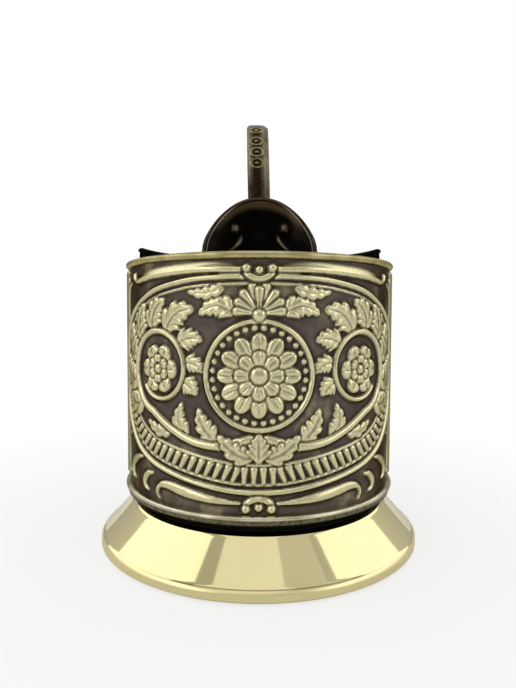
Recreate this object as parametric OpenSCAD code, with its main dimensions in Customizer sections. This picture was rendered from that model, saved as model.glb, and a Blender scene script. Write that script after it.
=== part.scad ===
// A tea glass holder: a sleeve of rolled brass sheet on a flared foot, with a tall ear-shaped handle.
// Millimetres, +Z up. The origin is on the axis of the glass well, at the surface that the holder stands on.
// The decorated front faces -Y and the handle is at +Y.

/* [Glass well] */
// Inner radius of the sleeve, which the tea glass slides into
well_r = 34; // [28:0.5:40]
// Thickness of the rolled sheet
sheet_t = 1; // [0.6:0.1:1.4]
// Height of the front wall, from the floor that the glass stands on to the rim
wall_h = 59; // [48:1:72]

/* [Rear edge] */
// Height of the rear shoulders above the front rim
shoulder_rise = 5.7; // [3:0.1:9]
// Half of the angle that the shoulders span round the handle
shoulder_half_angle = 81.5; // [75:0.5:88]
// Height of the crest above the front rim
crest_rise = 26.2; // [23:0.2:32]
// Radius of the crest's round top, seen from behind
crest_r = 19; // [16:0.5:21]
// Radius of the hollow where the crest runs into a shoulder
crest_fillet_r = 3; // [1.5:0.5:4]

/* [Beads] */
// How far the rim beads stand out from the sleeve
bead_proud = 1; // [0.5:0.1:1.5]
// Height of the bead along the front rim
rim_bead_h = 1.4; // [0.8:0.1:2]
// Height of the bead round the sleeve's lower edge
lower_bead_h = 1.2; // [0.8:0.1:2]
// Width of the border along the shoulders and the crest
edge_bead_w = 1.3; // [0.8:0.1:2]

/* [Floor and neck] */
// Thickness of the floor pan that the glass stands on
pan_t = 1; // [0.6:0.1:1.6]
// Depth of the round recess in the floor pan, over the clamp screw
dish_depth = 0.9; // [0.8:0.1:1.2]
// Radius of that recess
dish_r = 7; // [6.8:0.2:10]
// Height of the dark gap between the foot and the floor pan
gap_h = 2; // [1:0.1:4]
// How far the dark neck lies inside the sleeve's outer face
neck_inset = 3.2; // [2.8:0.1:5]
// Radial thickness of the neck ring
neck_t = 2.4; // [1.5:0.1:4]
// Height of the wider collar at the neck ring's foot
collar_h = 1.8; // [1:0.1:2.4]

/* [Foot] */
// Greatest radius of the flared foot
foot_r = 43; // [40:0.5:50]
// Height of the foot's upper edge
foot_h = 12; // [11:0.5:18]
// Thickness of the spun sheet of the foot
foot_t = 1.2; // [0.8:0.1:1.4]
// Height of the crease between the flare and the rounded lip
crease_h = 3; // [2.4:0.1:4]
// Radius of the lip's rounded underside
lip_r = 1.4; // [1:0.1:2]
// Width of the flat ring that the foot stands on
rest_w = 1.8; // [1:0.1:3]
// Height of the underside of the web across the foot
web_z = 7; // [6.8:0.1:7.6]

/* [Clamp screw] */
// Radius of the screw's shank
screw_r = 2; // [1.5:0.1:2.5]
// Radius of the screw's flat head
screw_head_r = 6; // [5:0.1:6.5]
// Thickness of the screw's head
screw_head_t = 0.7; // [0.5:0.1:0.8]
// Width of the slot in the screw's head
slot_w = 1; // [0.6:0.1:1.5]
// Depth of that slot
slot_depth = 0.4; // [0.2:0.1:0.4]
// Radius of the washer under the web
washer_r = 5; // [4.6:0.1:7]
// Thickness of the washer
washer_t = 0.8; // [0.5:0.1:1]
// Corner radius of the hexagon nut
nut_r = 4; // [3.6:0.1:5]
// Height of the nut
nut_h = 3.2; // [2:0.1:3.6]
// Length of thread below the nut
thread_end = 0.6; // [0.2:0.1:1]

/* [Handle] */
// Width of the handle's cast strip
strip_w = 8; // [6:0.5:10]
// Thickness of the strip
strip_t = 4; // [3:0.2:5]
// How far the middle of the grip stands off the saddles
handle_reach = 40; // [34:1:50]
// Height of the handle's top above the crest
handle_rise = 28.8; // [24:0.2:36]
// Height of the lower foot's end above the well's floor
low_foot_z = 5; // [4:0.5:8]
// Length of the strip's straight lower foot
low_foot_len = 12; // [10:0.5:14]
// How far the upper foot's end lies below the crest's top
high_foot_drop = 15; // [14:0.5:17]
// Radius of a rosette on the handle
rosette_r = 1.9; // [1.4:0.1:2.2]
// Height of a rosette over the strip
rosette_h = 0.5; // [0.3:0.1:0.9]

/* [Saddles and rivets] */
// Thickness of the saddles at their middle
saddle_t = 1.2; // [1:0.1:2]
// Half of a saddle's width
saddle_half_w = 6.5; // [5:0.5:8]
// Half of the upper saddle's height
high_saddle_half_h = 7.4; // [6.6:0.2:7.6]
// Half of the lower saddle's height
low_saddle_half_h = 8.2; // [7:0.2:8.6]
// Radius of a rivet's shank
rivet_r = 1.2; // [0.8:0.1:1.4]
// Radius of a rivet's domed head
rivet_head_r = 2.1; // [1.6:0.1:2.6]
// Height of that head
rivet_head_h = 1.2; // [0.8:0.1:1.5]
// Distance between the two rivets of a saddle
rivet_pitch = 6; // [5:0.5:7]

/* [Ornament] */
// Half of the angle that the oval front frame spans
oval_half_angle = 78; // [60:1:80]
// Distance from the rim down to the top of the oval frame's middle line
oval_top_margin = 5.2; // [4:0.1:9]
// Distance from the well's floor up to the bottom of the oval frame's middle line
oval_low_margin = 6; // [4.5:0.1:9]
// Width of the oval frame's moulding
frame_w = 1.3; // [0.8:0.1:2]
// How far the ornament stands out from the sleeve
relief_h = 0.8; // [0.4:0.1:0.9]
// Width of the vine's stems
stem_w = 1.1; // [0.7:0.1:1.6]
// Radius of the ring round the rosette in the middle of the front
medallion_r = 12; // [8:0.5:13]
// Outer radius of the lower scroll on each side of the handle
low_scroll_r = 8.8; // [6:0.4:9]
// Outer radius of the scroll above it
high_scroll_r = 5.6; // [4:0.2:6]
// Greatest width of the leaves
leaf_w = 4.6; // [2:0.2:4.8]
// Gap between the ornament and the sleeve, wider than its flat facets dip towards it
ornament_gap = 0.15; // [0.12:0.01:0.3]

/* [Hidden] */
$fn = 96;
// overrun of every cut past the faces that it opens
over = 1;
// play between parts that slide together
play = 0.05;
wall_r = well_r + sheet_t;
pan_z = foot_h + gap_h;
floor_z = pan_z + pan_t;
rim_z = floor_z + wall_h;
shoulder_z = rim_z + shoulder_rise;
crest_z = rim_z + crest_rise;
crest_mid_z = crest_z - crest_r;
edge_r = wall_r + bead_proud;
neck_r = wall_r - neck_inset;
collar_r = neck_r + foot_t / 2;
web_top = web_z + foot_t;
screw_bottom = web_z - washer_t - nut_h - thread_end;
head_z = floor_z - dish_depth;
saddle_y = wall_r + saddle_t;
handle_top = crest_z + handle_rise - strip_t / 2;
low_z = floor_z + low_foot_z;
high_z = crest_z - high_foot_drop;
high_saddle_z = crest_z - 2 * edge_bead_w - high_saddle_half_h - sheet_t / 2;
low_saddle_z = low_z + low_foot_len / 2;
oval_half_h = (wall_h - oval_top_margin - oval_low_margin) / 2;
oval_z = floor_z + oval_low_margin + oval_half_h;
oval_half_w = oval_half_angle / 180 * PI * wall_r;
// the band between the lower bead and the rim bead, which the ornament's heights are shares of
field_z = floor_z + lower_bead_h + frame_w / 2;
field_h = wall_h - lower_bead_h - rim_bead_h - frame_w;

function arc(mid, r, from, to, steps) =
    [for (i = [0:steps]) let (a = from + (to - from) * i / steps) mid + r * [cos(a), sin(a)]];

// a smooth curve through points, by Catmull and Rom's rule
function curve(p, steps) = let (n = len(p) - 1) concat(
    [for (i = [0:n - 1], k = [0:steps - 1])
        let (t = k / steps, a = p[max(i - 1, 0)], b = p[i], c = p[i + 1], d = p[min(i + 2, n)])
            (2 * b + (c - a) * t + (2 * a - 5 * b + 4 * c - d) * t * t
            + (3 * b - a - 3 * c + d) * t * t * t) / 2],
    [p[n]]);

// the direction of an open curve at its point i, or of a closed one
function along(p, i, closed = false) =
    let (n = len(p), d = closed ? p[(i + 1) % n] - p[(i + n - 1) % n]
        : p[min(i + 1, n - 1)] - p[max(i - 1, 0)])
    d / norm(d);
function left_of(d) = [-d[1], d[0]];

module tube(r_in, r_out, z0, z1) {
    translate([0, 0, z0]) difference() {
        cylinder(r = r_out, h = z1 - z0);
        translate([0, 0, -over]) cylinder(r = r_in, h = z1 - z0 + 2 * over);
    }
}

// a prism from the axis towards the handle, of an outline drawn in X and Z
module rear_prism(points) {
    translate([0, wall_r + 2 * bead_proud, 0]) rotate([90, 0, 0])
        linear_extrude(wall_r + 2 * bead_proud) polygon(points);
}

// the rear edge from the left shoulder over the crest to the right one, moved inwards by inset
function rear_edge(inset) =
    let (r = crest_r - inset, f = crest_fillet_r + inset, rise = shoulder_z - inset + f - crest_mid_z,
        x = sqrt(pow(r + f, 2) - rise * rise), a = atan2(rise, x), z = shoulder_z - inset)
    concat(
        [[-edge_r - over, z]],
        arc([-x, z + f], f, -90, -a, 6),
        arc([0, crest_mid_z], r, 180 - a, a, 36),
        arc([x, z + f], f, 180 + a, 270, 6),
        [[edge_r + over, z]]);

// what lies above the front rim, and above the shoulders and the crest
module above_edges() {
    rotate(90 + shoulder_half_angle) rotate_extrude(angle = 360 - 2 * shoulder_half_angle)
        translate([well_r - over, rim_z])
            square([sheet_t + bead_proud + 2 * over, crest_rise + 2 * over]);
    rear_prism(concat(rear_edge(0),
        [[edge_r + over, crest_z + 2 * over], [-edge_r - over, crest_z + 2 * over]]));
}

module sleeve() {
    color([0.34, 0.28, 0.25]) difference() {
        tube(well_r, wall_r, floor_z, crest_z + over);
        above_edges();
        for (z = concat(rivet_heights(high_rivet_z), rivet_heights(low_rivet_z)))
            translate([0, 0, z]) rotate([-90, 0, 0])
                cylinder(r = rivet_r, h = wall_r + over, $fn = 32);
    }
}

// half of a round bead's section, standing on the sleeve's outer face
module bead_section(z0, h) {
    polygon([for (i = [0:8]) let (a = -90 + 180 * i / 8)
        [wall_r + bead_proud * cos(a), z0 + h / 2 + h / 2 * sin(a)]]);
}

module front_rim_bead() {
    color([0.74, 0.7, 0.46]) rotate(90 + shoulder_half_angle)
        rotate_extrude(angle = 360 - 2 * shoulder_half_angle) bead_section(rim_z - rim_bead_h, rim_bead_h);
}

module rear_edge_bead() {
    color([0.2, 0.17, 0.14]) difference() {
        rotate(90 - shoulder_half_angle) rotate_extrude(angle = 2 * shoulder_half_angle)
            translate([wall_r, shoulder_z - edge_bead_w])
                square([bead_proud, crest_z - shoulder_z + edge_bead_w + over]);
        rear_prism(concat(rear_edge(0),
            [[edge_r + over, crest_z + 2 * over], [-edge_r - over, crest_z + 2 * over]]));
        rear_prism(concat(rear_edge(edge_bead_w),
            [[edge_r + over, rim_z - over], [-edge_r - over, rim_z - over]]));
    }
}

module lower_bead() {
    color([0.74, 0.7, 0.46]) rotate_extrude() bead_section(floor_z, lower_bead_h);
}

module floor_pan() {
    color([0.45, 0.42, 0.25]) difference() {
        union() {
            translate([0, 0, pan_z]) cylinder(r = edge_r, h = pan_t);
            translate([0, 0, pan_z - dish_depth]) cylinder(r = dish_r + pan_t, h = pan_t);
        }
        translate([0, 0, head_z]) cylinder(r = dish_r, h = dish_depth + over);
        translate([0, 0, pan_z - dish_depth - over])
            cylinder(r = screw_r + play, h = floor_z, $fn = 48);
    }
}

module neck_ring() {
    color([0.05, 0.05, 0.05]) difference() {
        union() {
            translate([0, 0, web_top]) cylinder(r = neck_r, h = pan_z - web_top);
            translate([0, 0, web_top]) cylinder(r = collar_r, h = collar_h);
        }
        translate([0, 0, web_top - over]) cylinder(r = neck_r - neck_t, h = pan_z);
    }
}

// half of the foot's section, from the ring that it stands on round to the web's underside
function foot_section() =
    let (throat_r = collar_r + play, top_r = throat_r + foot_t, crease_r = foot_r - lip_r / 4,
        brim = foot_t / 3, slope = (crease_r - top_r) / (foot_h - brim - crease_h),
        across = foot_t * sqrt(1 + slope * slope), notch_z = foot_h - brim - across / slope)
    concat(
        [[foot_r - lip_r - rest_w, 0]],
        arc([foot_r - lip_r, lip_r], lip_r, -90, 0, 8),
        [[crease_r, crease_h], [top_r, foot_h - brim], [top_r - brim, foot_h],
        [throat_r + brim, foot_h], [throat_r, foot_h - brim], [throat_r, web_top],
        [screw_r + play, web_top], [screw_r + play, web_z], [top_r, web_z], [top_r, notch_z],
        [crease_r - across, crease_h], [foot_r - lip_r, lip_r],
        [foot_r - lip_r - rest_w, lip_r / 2]]);

module base_skirt() {
    color([0.86, 0.8, 0.48]) rotate_extrude($fn = 128) polygon(foot_section());
}

module clamp_screw() {
    color([0.7, 0.66, 0.44]) difference() {
        union() {
            translate([0, 0, head_z]) cylinder(r = screw_head_r, h = screw_head_t, $fn = 64);
            translate([0, 0, screw_bottom]) cylinder(r = screw_r, h = head_z - screw_bottom, $fn = 48);
        }
        translate([-screw_head_r - over, -slot_w / 2, head_z + screw_head_t - slot_depth])
            cube([2 * screw_head_r + 2 * over, slot_w, slot_depth + over]);
    }
}

module clamp_washer() {
    color([0.6, 0.58, 0.5]) translate([0, 0, web_z - washer_t]) difference() {
        cylinder(r = washer_r, h = washer_t, $fn = 64);
        translate([0, 0, -over]) cylinder(r = screw_r + play, h = washer_t + 2 * over, $fn = 48);
    }
}

module clamp_nut() {
    color([0.6, 0.58, 0.5]) translate([0, 0, web_z - washer_t - nut_h]) difference() {
        cylinder(r = nut_r, h = nut_h, $fn = 6);
        translate([0, 0, -over]) cylinder(r = screw_r + play, h = nut_h + 2 * over, $fn = 48);
    }
}

// the handle's middle line in Y and Z: the upper limb and the top, as shares of the reach and the rise
// over the crest, then the grip, as shares of the reach and of the height from lower foot to top
limb_shares = [[0, 0], [0, 0.2], [0.005, 0.4], [0.037, 0.61], [0.1, 0.8], [0.195, 0.94], [0.305, 1]];
grip_shares = [[0.43, 0.985], [0.59, 0.93], [0.775, 0.83], [0.93, 0.712], [1, 0.585], [0.97, 0.465],
    [0.84, 0.36], [0.645, 0.285], [0.41, 0.23], [0.2, 0.192], [0.06, 0.155]];
function stand_off(share) = saddle_y + strip_t / 2 + share * (handle_reach - strip_t / 2);
handle_line = curve(concat(
    [[stand_off(0), high_z], [stand_off(0), high_z + high_foot_drop / 2]],
    [for (s = limb_shares) [stand_off(s[0]), crest_z + s[1] * (handle_top - crest_z)]],
    [for (s = grip_shares) [stand_off(s[0]), low_z + s[1] * (handle_top - low_z)]],
    [[stand_off(0), low_z + low_foot_len], [stand_off(0), low_z + low_foot_len / 2],
    [stand_off(0), low_z]]), 5);
// places of the rosettes along the upper limb, as shares of the whole line
rosette_shares = [0.195, 0.226, 0.26, 0.307];

module handle_bow() {
    last = len(handle_line) - 1;
    side = [for (i = [0:last]) left_of(along(handle_line, i)) * strip_t / 2];
    color([0.42, 0.36, 0.22]) difference() {
        union() {
            rotate([90, 0, 90]) translate([0, 0, -strip_w / 2]) linear_extrude(strip_w)
                polygon(concat([for (i = [0:last]) handle_line[i] + side[i]],
                    [for (i = [last:-1:0]) handle_line[i] - side[i]]));
            for (share = rosette_shares)
                rosette(round(share * last));
        }
        for (z = concat(rivet_heights(high_rivet_z), rivet_heights(low_rivet_z)))
            translate([0, saddle_y - over, z]) rotate([-90, 0, 0])
                cylinder(r = rivet_r + play, h = strip_t + 2 * over, $fn = 32);
    }
}

// a ring with a bead in it, on the handle's face towards the glass
module rosette(i) {
    d = along(handle_line, i);
    at = handle_line[i] + left_of(d) * (strip_t / 2 - rosette_h);
    translate([0, at[0], at[1]]) rotate([atan2(d[1], d[0]), 0, 0]) rotate([-90, 0, 0])
        mirror([0, 0, 1]) {
            difference() {
                cylinder(r = rosette_r, h = 2 * rosette_h, $fn = 32);
                translate([0, 0, rosette_h]) cylinder(r = rosette_r * 0.7, h = rosette_h + over, $fn = 32);
            }
            cylinder(r = rosette_r * 0.4, h = 2 * rosette_h, $fn = 24);
        }
}

high_rivet_z = high_saddle_z;
low_rivet_z = low_saddle_z;
function rivet_heights(mid) = [mid - rivet_pitch / 2, mid + rivet_pitch / 2];

// a pointed leaf, flat where the handle lies on it and hollow to fit the sleeve
module saddle(mid_z, half_h) {
    color([0.42, 0.36, 0.22]) difference() {
        translate([0, saddle_y, mid_z]) rotate([90, 0, 0]) linear_extrude(saddle_t + saddle_half_w / 2)
            polygon([for (i = [0:47]) let (a = i * 7.5)
                [saddle_half_w * cos(a) * (1 - 0.25 * pow(sin(a), 2)), half_h * sin(a)]]);
        translate([0, 0, mid_z - half_h - over])
            cylinder(r = wall_r, h = 2 * half_h + 2 * over);
        for (z = rivet_heights(mid_z))
            translate([0, 0, z]) rotate([-90, 0, 0])
                cylinder(r = rivet_r + play, h = saddle_y + over, $fn = 32);
    }
}

module upper_saddle() {
    saddle(high_saddle_z, high_saddle_half_h);
}

module lower_saddle() {
    saddle(low_saddle_z, low_saddle_half_h);
}

// a shank, flush with the well's wall, and a domed head outside
module rivet(z) {
    dome_r = (pow(rivet_head_r, 2) + pow(rivet_head_h, 2)) / (2 * rivet_head_h);
    head_y = saddle_y + strip_t;
    color([0.5, 0.44, 0.26]) translate([0, 0, z]) {
        difference() {
            rotate([-90, 0, 0]) cylinder(r = rivet_r, h = head_y, $fn = 32);
            translate([0, 0, -rivet_head_r]) cylinder(r = well_r, h = 2 * rivet_head_r);
        }
        intersection() {
            translate([0, head_y + rivet_head_h - dome_r, 0]) sphere(r = dome_r, $fn = 48);
            translate([0, head_y, 0]) rotate([-90, 0, 0])
                cylinder(r = rivet_head_r + over, h = rivet_head_h + over, $fn = 32);
        }
    }
}

module upper_rivets() {
    for (z = rivet_heights(high_rivet_z))
        rivet(z);
}

module lower_rivets() {
    for (z = rivet_heights(low_rivet_z))
        rivet(z);
}

// a raised stroke that follows the sleeve: points are [distance round the sleeve from the front, height],
// and its width runs from widths[0] in the middle to widths[1] at the ends
module stroke(points, widths, closed = false) {
    n = len(points);
    last = closed ? n - 1 : n - 2;
    inner = wall_r + ornament_gap;
    outer = wall_r + relief_h;
    turn = 180 / (PI * wall_r);
    top_share = 0.6;
    function at(p, r) = [r * sin(p[0] * turn), -r * cos(p[0] * turn), p[1]];
    rings = [for (i = [0:n - 1])
        let (w = widths[0] + (widths[1] - widths[0]) * pow(abs(2 * i / (n - 1) - 1), 3),
            d = left_of(along(points, i, closed)) * w / 2)
            each [at(points[i] + d, inner), at(points[i] + d * top_share, outer),
                at(points[i] - d * top_share, outer), at(points[i] - d, inner)]];
    sides = [for (i = [0:last], k = [0:3])
        let (a = 4 * i, b = 4 * ((i + 1) % n), m = (k + 1) % 4)
            each [[a + k, b + k, a + m], [b + k, b + m, a + m]]];
    e = 4 * n - 4;
    ends = [[0, 1, 2], [0, 2, 3], [e + 2, e + 1, e], [e + 3, e + 2, e]];
    polyhedron(rings, closed ? sides : concat(sides, ends));
}

// the same stroke on both sides of the front
module pair(points, widths) {
    stroke(points, widths);
    mirror([1, 0, 0]) stroke(points, widths);
}

round_sleeve = 2 * PI * wall_r;
// a place on the sleeve, from shares of its circumference and of the band between the beads
function places(shares) = [for (s = shares) [s[0] * round_sleeve, field_z + s[1] * field_h]];

// the oval, squarer above its middle than below it
function oval(steps) = [for (i = [0:steps - 1])
    let (a = 360 * i / steps, e = sin(a) > 0 ? 2 / 2.3 : 2 / 1.95)
        [sign(cos(a)) * oval_half_w * pow(abs(cos(a)), e),
        oval_z + sign(sin(a)) * oval_half_h * pow(abs(sin(a)), e)]];

// the mouldings beside the oval, and the clasps at its top and bottom
top_band_shares = [[0.017, 0.9633], [0.055, 0.9665], [0.095, 0.9601], [0.135, 0.9462], [0.155, 0.9376],
    [0.164, 0.944]];
low_band_shares = [[0.017, 0.0371], [0.042, 0.0446], [0.065, 0.0574], [0.086, 0.0756], [0.102, 0.081],
    [0.113, 0.0681], [0.114, 0.0467], [0.106, 0.0114]];
near_hook_shares = [[0.121, 0.1121], [0.136, 0.0949], [0.142, 0.066], [0.13, 0.0371]];
far_hook_shares = [[0.144, 0.1656], [0.163, 0.141], [0.176, 0.1003], [0.163, 0.0681]];
clasp_shares = [[0.004, 1.0029], [0.012, 0.9965], [0.016, 0.9783], [0.013, 0.9462], [0.006, 0.9301],
    [0.001, 0.9269]];

module cartouche_frame() {
    color([0.62, 0.58, 0.36]) {
        stroke(oval(96), [frame_w, frame_w], true);
        pair(curve(places(top_band_shares), 4), [frame_w, frame_w / 2]);
        pair(curve(places(low_band_shares), 3), [frame_w * 0.8, frame_w / 4]);
        for (hook = [near_hook_shares, far_hook_shares])
            pair(curve(places(hook), 3), [frame_w, frame_w / 4]);
        pair(curve(places(clasp_shares), 3), [frame_w, frame_w * 0.6]);
        pair([for (p = curve(places(clasp_shares), 3)) [p[0], 2 * floor_z + wall_h - p[1]]],
            [frame_w, frame_w * 0.6]);
    }
}

// a scroll that winds inwards from its outer radius, and its radius at a part k of the way
inner_share = 0.62;
function wound_r(r, k) = r * (1 + (inner_share - 1) * k);
function scroll(mid, r, from, turn, steps) = [for (i = [0:steps])
    let (a = from + turn * i / steps) mid + wound_r(r, i / steps) * [cos(a), sin(a)]];

// the spine of a leaf that grows off a scroll: its angle, its root and its tip as shares of the scroll's
// radius, and the angle that it leans through
function spine(mid, r, leaf) = [for (i = [0:4])
    let (k = i / 4, a = leaf[0] + leaf[3] * k * k)
        mid + r * (leaf[1] + (leaf[2] - leaf[1]) * k) * [cos(a), sin(a)]];

// a flower of six petals
module flower(mid, r) {
    for (a = [30:60:330])
        stroke([for (i = [0:3]) mid + r * (0.3 + 0.7 * i / 3) * [cos(a), sin(a)]], [r * 0.42, r * 0.14]);
}

// a part of the oval's lower half, moved inwards
function inside_oval(inset, from, to, steps) = [for (i = [0:steps])
    let (a = from + (to - from) * i / steps, e = 2 / 1.95)
        [sign(cos(a)) * (oval_half_w - inset) * pow(abs(cos(a)), e),
        oval_z + sign(sin(a)) * (oval_half_h - inset) * pow(abs(sin(a)), e)]];

// the panel between the rosette's ring and the oval: places in it are shares of its width beside the ring
// and of the oval's half height, from the rosette's middle
middle_share = 0.088;
panel_z = oval_z + middle_share * oval_half_h;
panel_w = oval_half_w - medallion_r;
function in_panel(shares) = [for (s = shares) [medallion_r + s[0] * panel_w, panel_z + s[1] * oval_half_h]];
eye_shares = [[0.3815, 0.0335]];
scroll_share_across = 0.2945;
scroll_share_up = 0.44;
scroll_r = min(scroll_share_across * panel_w, scroll_share_up * oval_half_h);
// where the scroll's stem starts, its way from there to the scroll, and the leaves that grow off the scroll
stem_root_shares = [[-0.0067, -0.657]];
stem_shares = [[0, 0], [0.18, 0.07], [0.38, 0.23], [0.58, 0.43], [0.79, 0.7]];
scroll_leaf_shares = [[-50, 1.13, 1.61, 30], [-18, 1.11, 1.76, 27], [14, 1.08, 1.66, 25],
    [46, 1.05, 1.52, 24], [78, 1.02, 1.52, 20], [108, 0.99, 1.62, 20]];
// leaves between the scroll, the ring and the oval, each with its share of the leaves' width
panel_leaf_shares = [
    [[-0.163, 0.569], [-0.073, 0.615], [0.028, 0.573], 0.8],
    [[-0.095, 0.803], [0.006, 0.745], [0.101, 0.749], 0.6],
    [[0.14, -0.506], [0.194, -0.439], [0.165, -0.31], 0.7],
    [[-0.039, -0.548], [0.02, -0.452], [0.053, -0.301], 0.75]];
// leaves of the cup under the ring, about the rosette's middle and in shares of the ring's radius
cup_leaf_shares = [-81.6, 1.465, 1.325, 24.3];
middle_leaf_shares = [-90, 1.53, 1.12, 0];
petal_shares = [0.3, 0.78];
heart_share = 0.11;
// the palmette's middle, root and tip, as shares of the height between the ring and the oval
palm_shares = [0.143, 0.23, 0.575];
palm_h = oval_z + oval_half_h - panel_z - medallion_r;

// a straight stroke away from a middle, from one radius to another
function ray(mid, r0, r1, a) = [for (i = [0:3]) mid + (r0 + (r1 - r0) * i / 3) * [cos(a), sin(a)]];

module panel_ornament() {
    mid = [0, panel_z];
    eye = in_panel(eye_shares)[0];
    palm = mid + [0, medallion_r + palm_shares[0] * palm_h];
    coil = scroll(eye, scroll_r, -80, 398, 36);
    root = in_panel(stem_root_shares)[0];
    stem = [for (s = stem_shares) [root[0] + s[0] * (coil[0][0] - root[0]), root[1] + s[1] * (coil[0][1] - root[1])]];
    color([0.62, 0.58, 0.36]) {
        stroke([for (a = [0:10:350]) mid + medallion_r * [cos(a), sin(a)]],
            [stem_w * 1.1, stem_w * 1.1], true);
        stroke([for (a = [0:20:340]) mid + heart_share * medallion_r * [cos(a), sin(a)]],
            [stem_w, stem_w], true);
        for (a = [0:30:330])
            stroke(ray(mid, petal_shares[0] * medallion_r, petal_shares[1] * medallion_r, a),
                [medallion_r * 0.2, medallion_r * 0.04]);
        pair(concat(stem, coil), [stem_w * 1.5, stem_w]);
        pair_flower(eye, scroll_r * 0.5);
        for (leaf = scroll_leaf_shares)
            pair(spine(eye, scroll_r, leaf), [leaf_w, leaf_w / 5]);
        for (leaf = panel_leaf_shares)
            pair(curve(in_panel([leaf[0], leaf[1], leaf[2]]), 2), [leaf_w * leaf[3], leaf_w / 6]);
        pair(spine(mid, medallion_r, cup_leaf_shares), [leaf_w * 0.55, leaf_w / 6]);
        stroke(spine(mid, medallion_r, middle_leaf_shares), [leaf_w * 0.6, leaf_w / 6]);
        for (a = [8:22.6:76])
            pair(ray(palm, palm_shares[1] * palm_h, palm_shares[2] * palm_h, a), [stem_w * 0.95, stem_w * 0.35]);
        stroke(ray(palm, palm_shares[1] * palm_h, palm_shares[2] * palm_h, 90), [stem_w * 0.95, stem_w * 0.35]);
        stroke(inside_oval(frame_w * 1.35, -168, -12, 60), [stem_w * 0.6, stem_w * 0.4]);
        stroke(inside_oval(frame_w * 4.7, -160, -20, 56), [stem_w * 0.6, stem_w * 0.4]);
    }
}

module pair_flower(mid, r) {
    flower(mid, r);
    mirror([1, 0, 0]) flower(mid, r);
}

// the leafy net at each side: two mouldings, two lines that swing between them, and leaves in the openings;
// the net's least and greatest half width and the mouldings' place, from the net's middle
side_share = 0.2737;
net_shares = [0.0034, 0.03, 0.0391];
net_low_share = 0.0391;
net_step_share = 0.1851;
net_top_share = 0.99;
moulding_low_share = 0.0172;
function net_line(way, steps) = [for (i = [0:steps])
    let (z = net_low_share + (net_top_share - net_low_share) * i / steps,
        x = net_shares[0] + (net_shares[1] - net_shares[0])
            * abs(cos(180 * (z - net_low_share) / net_step_share)))
        places([[side_share + way * x, z]])[0]];
// strokes in the corners between the oval and the net
corner_shares = [
    [[0.1937, 0.2387], [0.2101, 0.2096], [0.2201, 0.1552], [0.221, 0.0971], [0.2128, 0.0535]],
    [[0.1864, 0.9356], [0.2065, 0.8993], [0.2183, 0.8339], [0.2237, 0.7541]]];

// scrolls with leaves on each side of the handle, single leaves about them, and a fan on the crest
low_scroll_shares = [[0.3929, 0.4673]];
high_scroll_shares = [[0.3893, 0.8993]];
rear_stem_shares = [[0.4684, 0.039], [0.4456, 0.1044], [0.4338, 0.1951], [0.4202, 0.2868]];
low_leaf_shares = [[50, 1.1, 1.52, -30], [90, 1.13, 1.52, -30], [130, 1.16, 1.52, -30],
    [170, 1.18, 1.52, -30], [210, 1.18, 1.52, -30], [250, 1.18, 1.52, -30]];
high_leaf_shares = [[30, 1.2, 1.52, 30], [70, 1.2, 1.52, 30], [110, 1.2, 1.52, 30], [150, 1.2, 1.52, 30],
    [190, 1.2, 1.52, 30], [230, 1.2, 1.52, 30], [310, 1.2, 1.52, 30]];
rear_leaf_shares = [
    [[0.447, 0.1407], [0.4506, 0.2132], [0.4497, 0.2932], 0.5],
    [[0.4429, 0.3004], [0.4484, 0.3657], [0.452, 0.4419], 0.65],
    [[0.4538, 0.627], [0.462, 0.7178], [0.4629, 0.8194], 0.8],
    [[0.4393, 0.794], [0.4438, 0.8739], [0.4438, 0.9719], 0.7],
    [[0.4265, 0.1044], [0.4029, 0.0789], [0.3747, 0.108], 0.8],
    [[0.362, 0.0681], [0.3456, 0.1407], [0.3356, 0.2568], 0.75],
    [[0.332, 0.98], [0.3483, 1.005], [0.3665, 1.01], 0.5],
    [[0.3329, 0.5726], [0.3292, 0.667], [0.3347, 0.7831], 0.55]];
// the fan's strokes start beside the upper saddle, at a share of its half width, and end at a share of the
// crest's radius
fan_root_shares = [[130, 1.75], [146, 1.4], [162, 1.4], [178, 1.4]];
fan_tip_share = 0.745;

module rear_ornament() {
    low_eye = places(low_scroll_shares)[0];
    high_eye = places(high_scroll_shares)[0];
    color([0.5, 0.46, 0.28]) {
        for (way = [-1, 1]) {
            pair(net_line(way, 44), [stem_w * 0.9, stem_w * 0.9]);
            pair(places([for (z = [moulding_low_share, net_top_share]) [side_share + way * net_shares[2], z]]),
                [stem_w * 1.5, stem_w * 1.5]);
        }
        for (k = [1:4])
            pair(places([for (i = [-0.32:0.16:0.32]) [side_share, net_low_share + net_step_share * (k + i)]]),
                [leaf_w * 0.9, leaf_w / 5]);
        for (corner = corner_shares)
            pair(curve(places(corner), 3), [stem_w * 1.5, stem_w * 0.4]);
        pair(concat(curve(places(rear_stem_shares), 3), scroll(low_eye, low_scroll_r, -70, -380, 32)),
            [stem_w * 1.5, stem_w]);
        pair(scroll(high_eye, high_scroll_r, 70, 380, 28), [stem_w * 1.3, stem_w * 0.8]);
        pair_flower(low_eye, low_scroll_r * 0.5);
        pair_flower(high_eye, high_scroll_r * 0.46);
        for (leaf = low_leaf_shares)
            pair(spine(low_eye, low_scroll_r, leaf), [leaf_w * 0.85, leaf_w / 5]);
        for (leaf = high_leaf_shares)
            pair(spine(high_eye, high_scroll_r, leaf), [leaf_w * 0.5, leaf_w / 6]);
        for (leaf = rear_leaf_shares)
            pair(curve(places([leaf[0], leaf[1], leaf[2]]), 2), [leaf_w * leaf[3], leaf_w / 6]);
        for (leaf = fan_root_shares)
            pair(ray([round_sleeve / 2, crest_mid_z + edge_bead_w], leaf[1] * saddle_half_w,
                fan_tip_share * crest_r, leaf[0]), [leaf_w / 2, leaf_w / 5]);
    }
}

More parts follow.
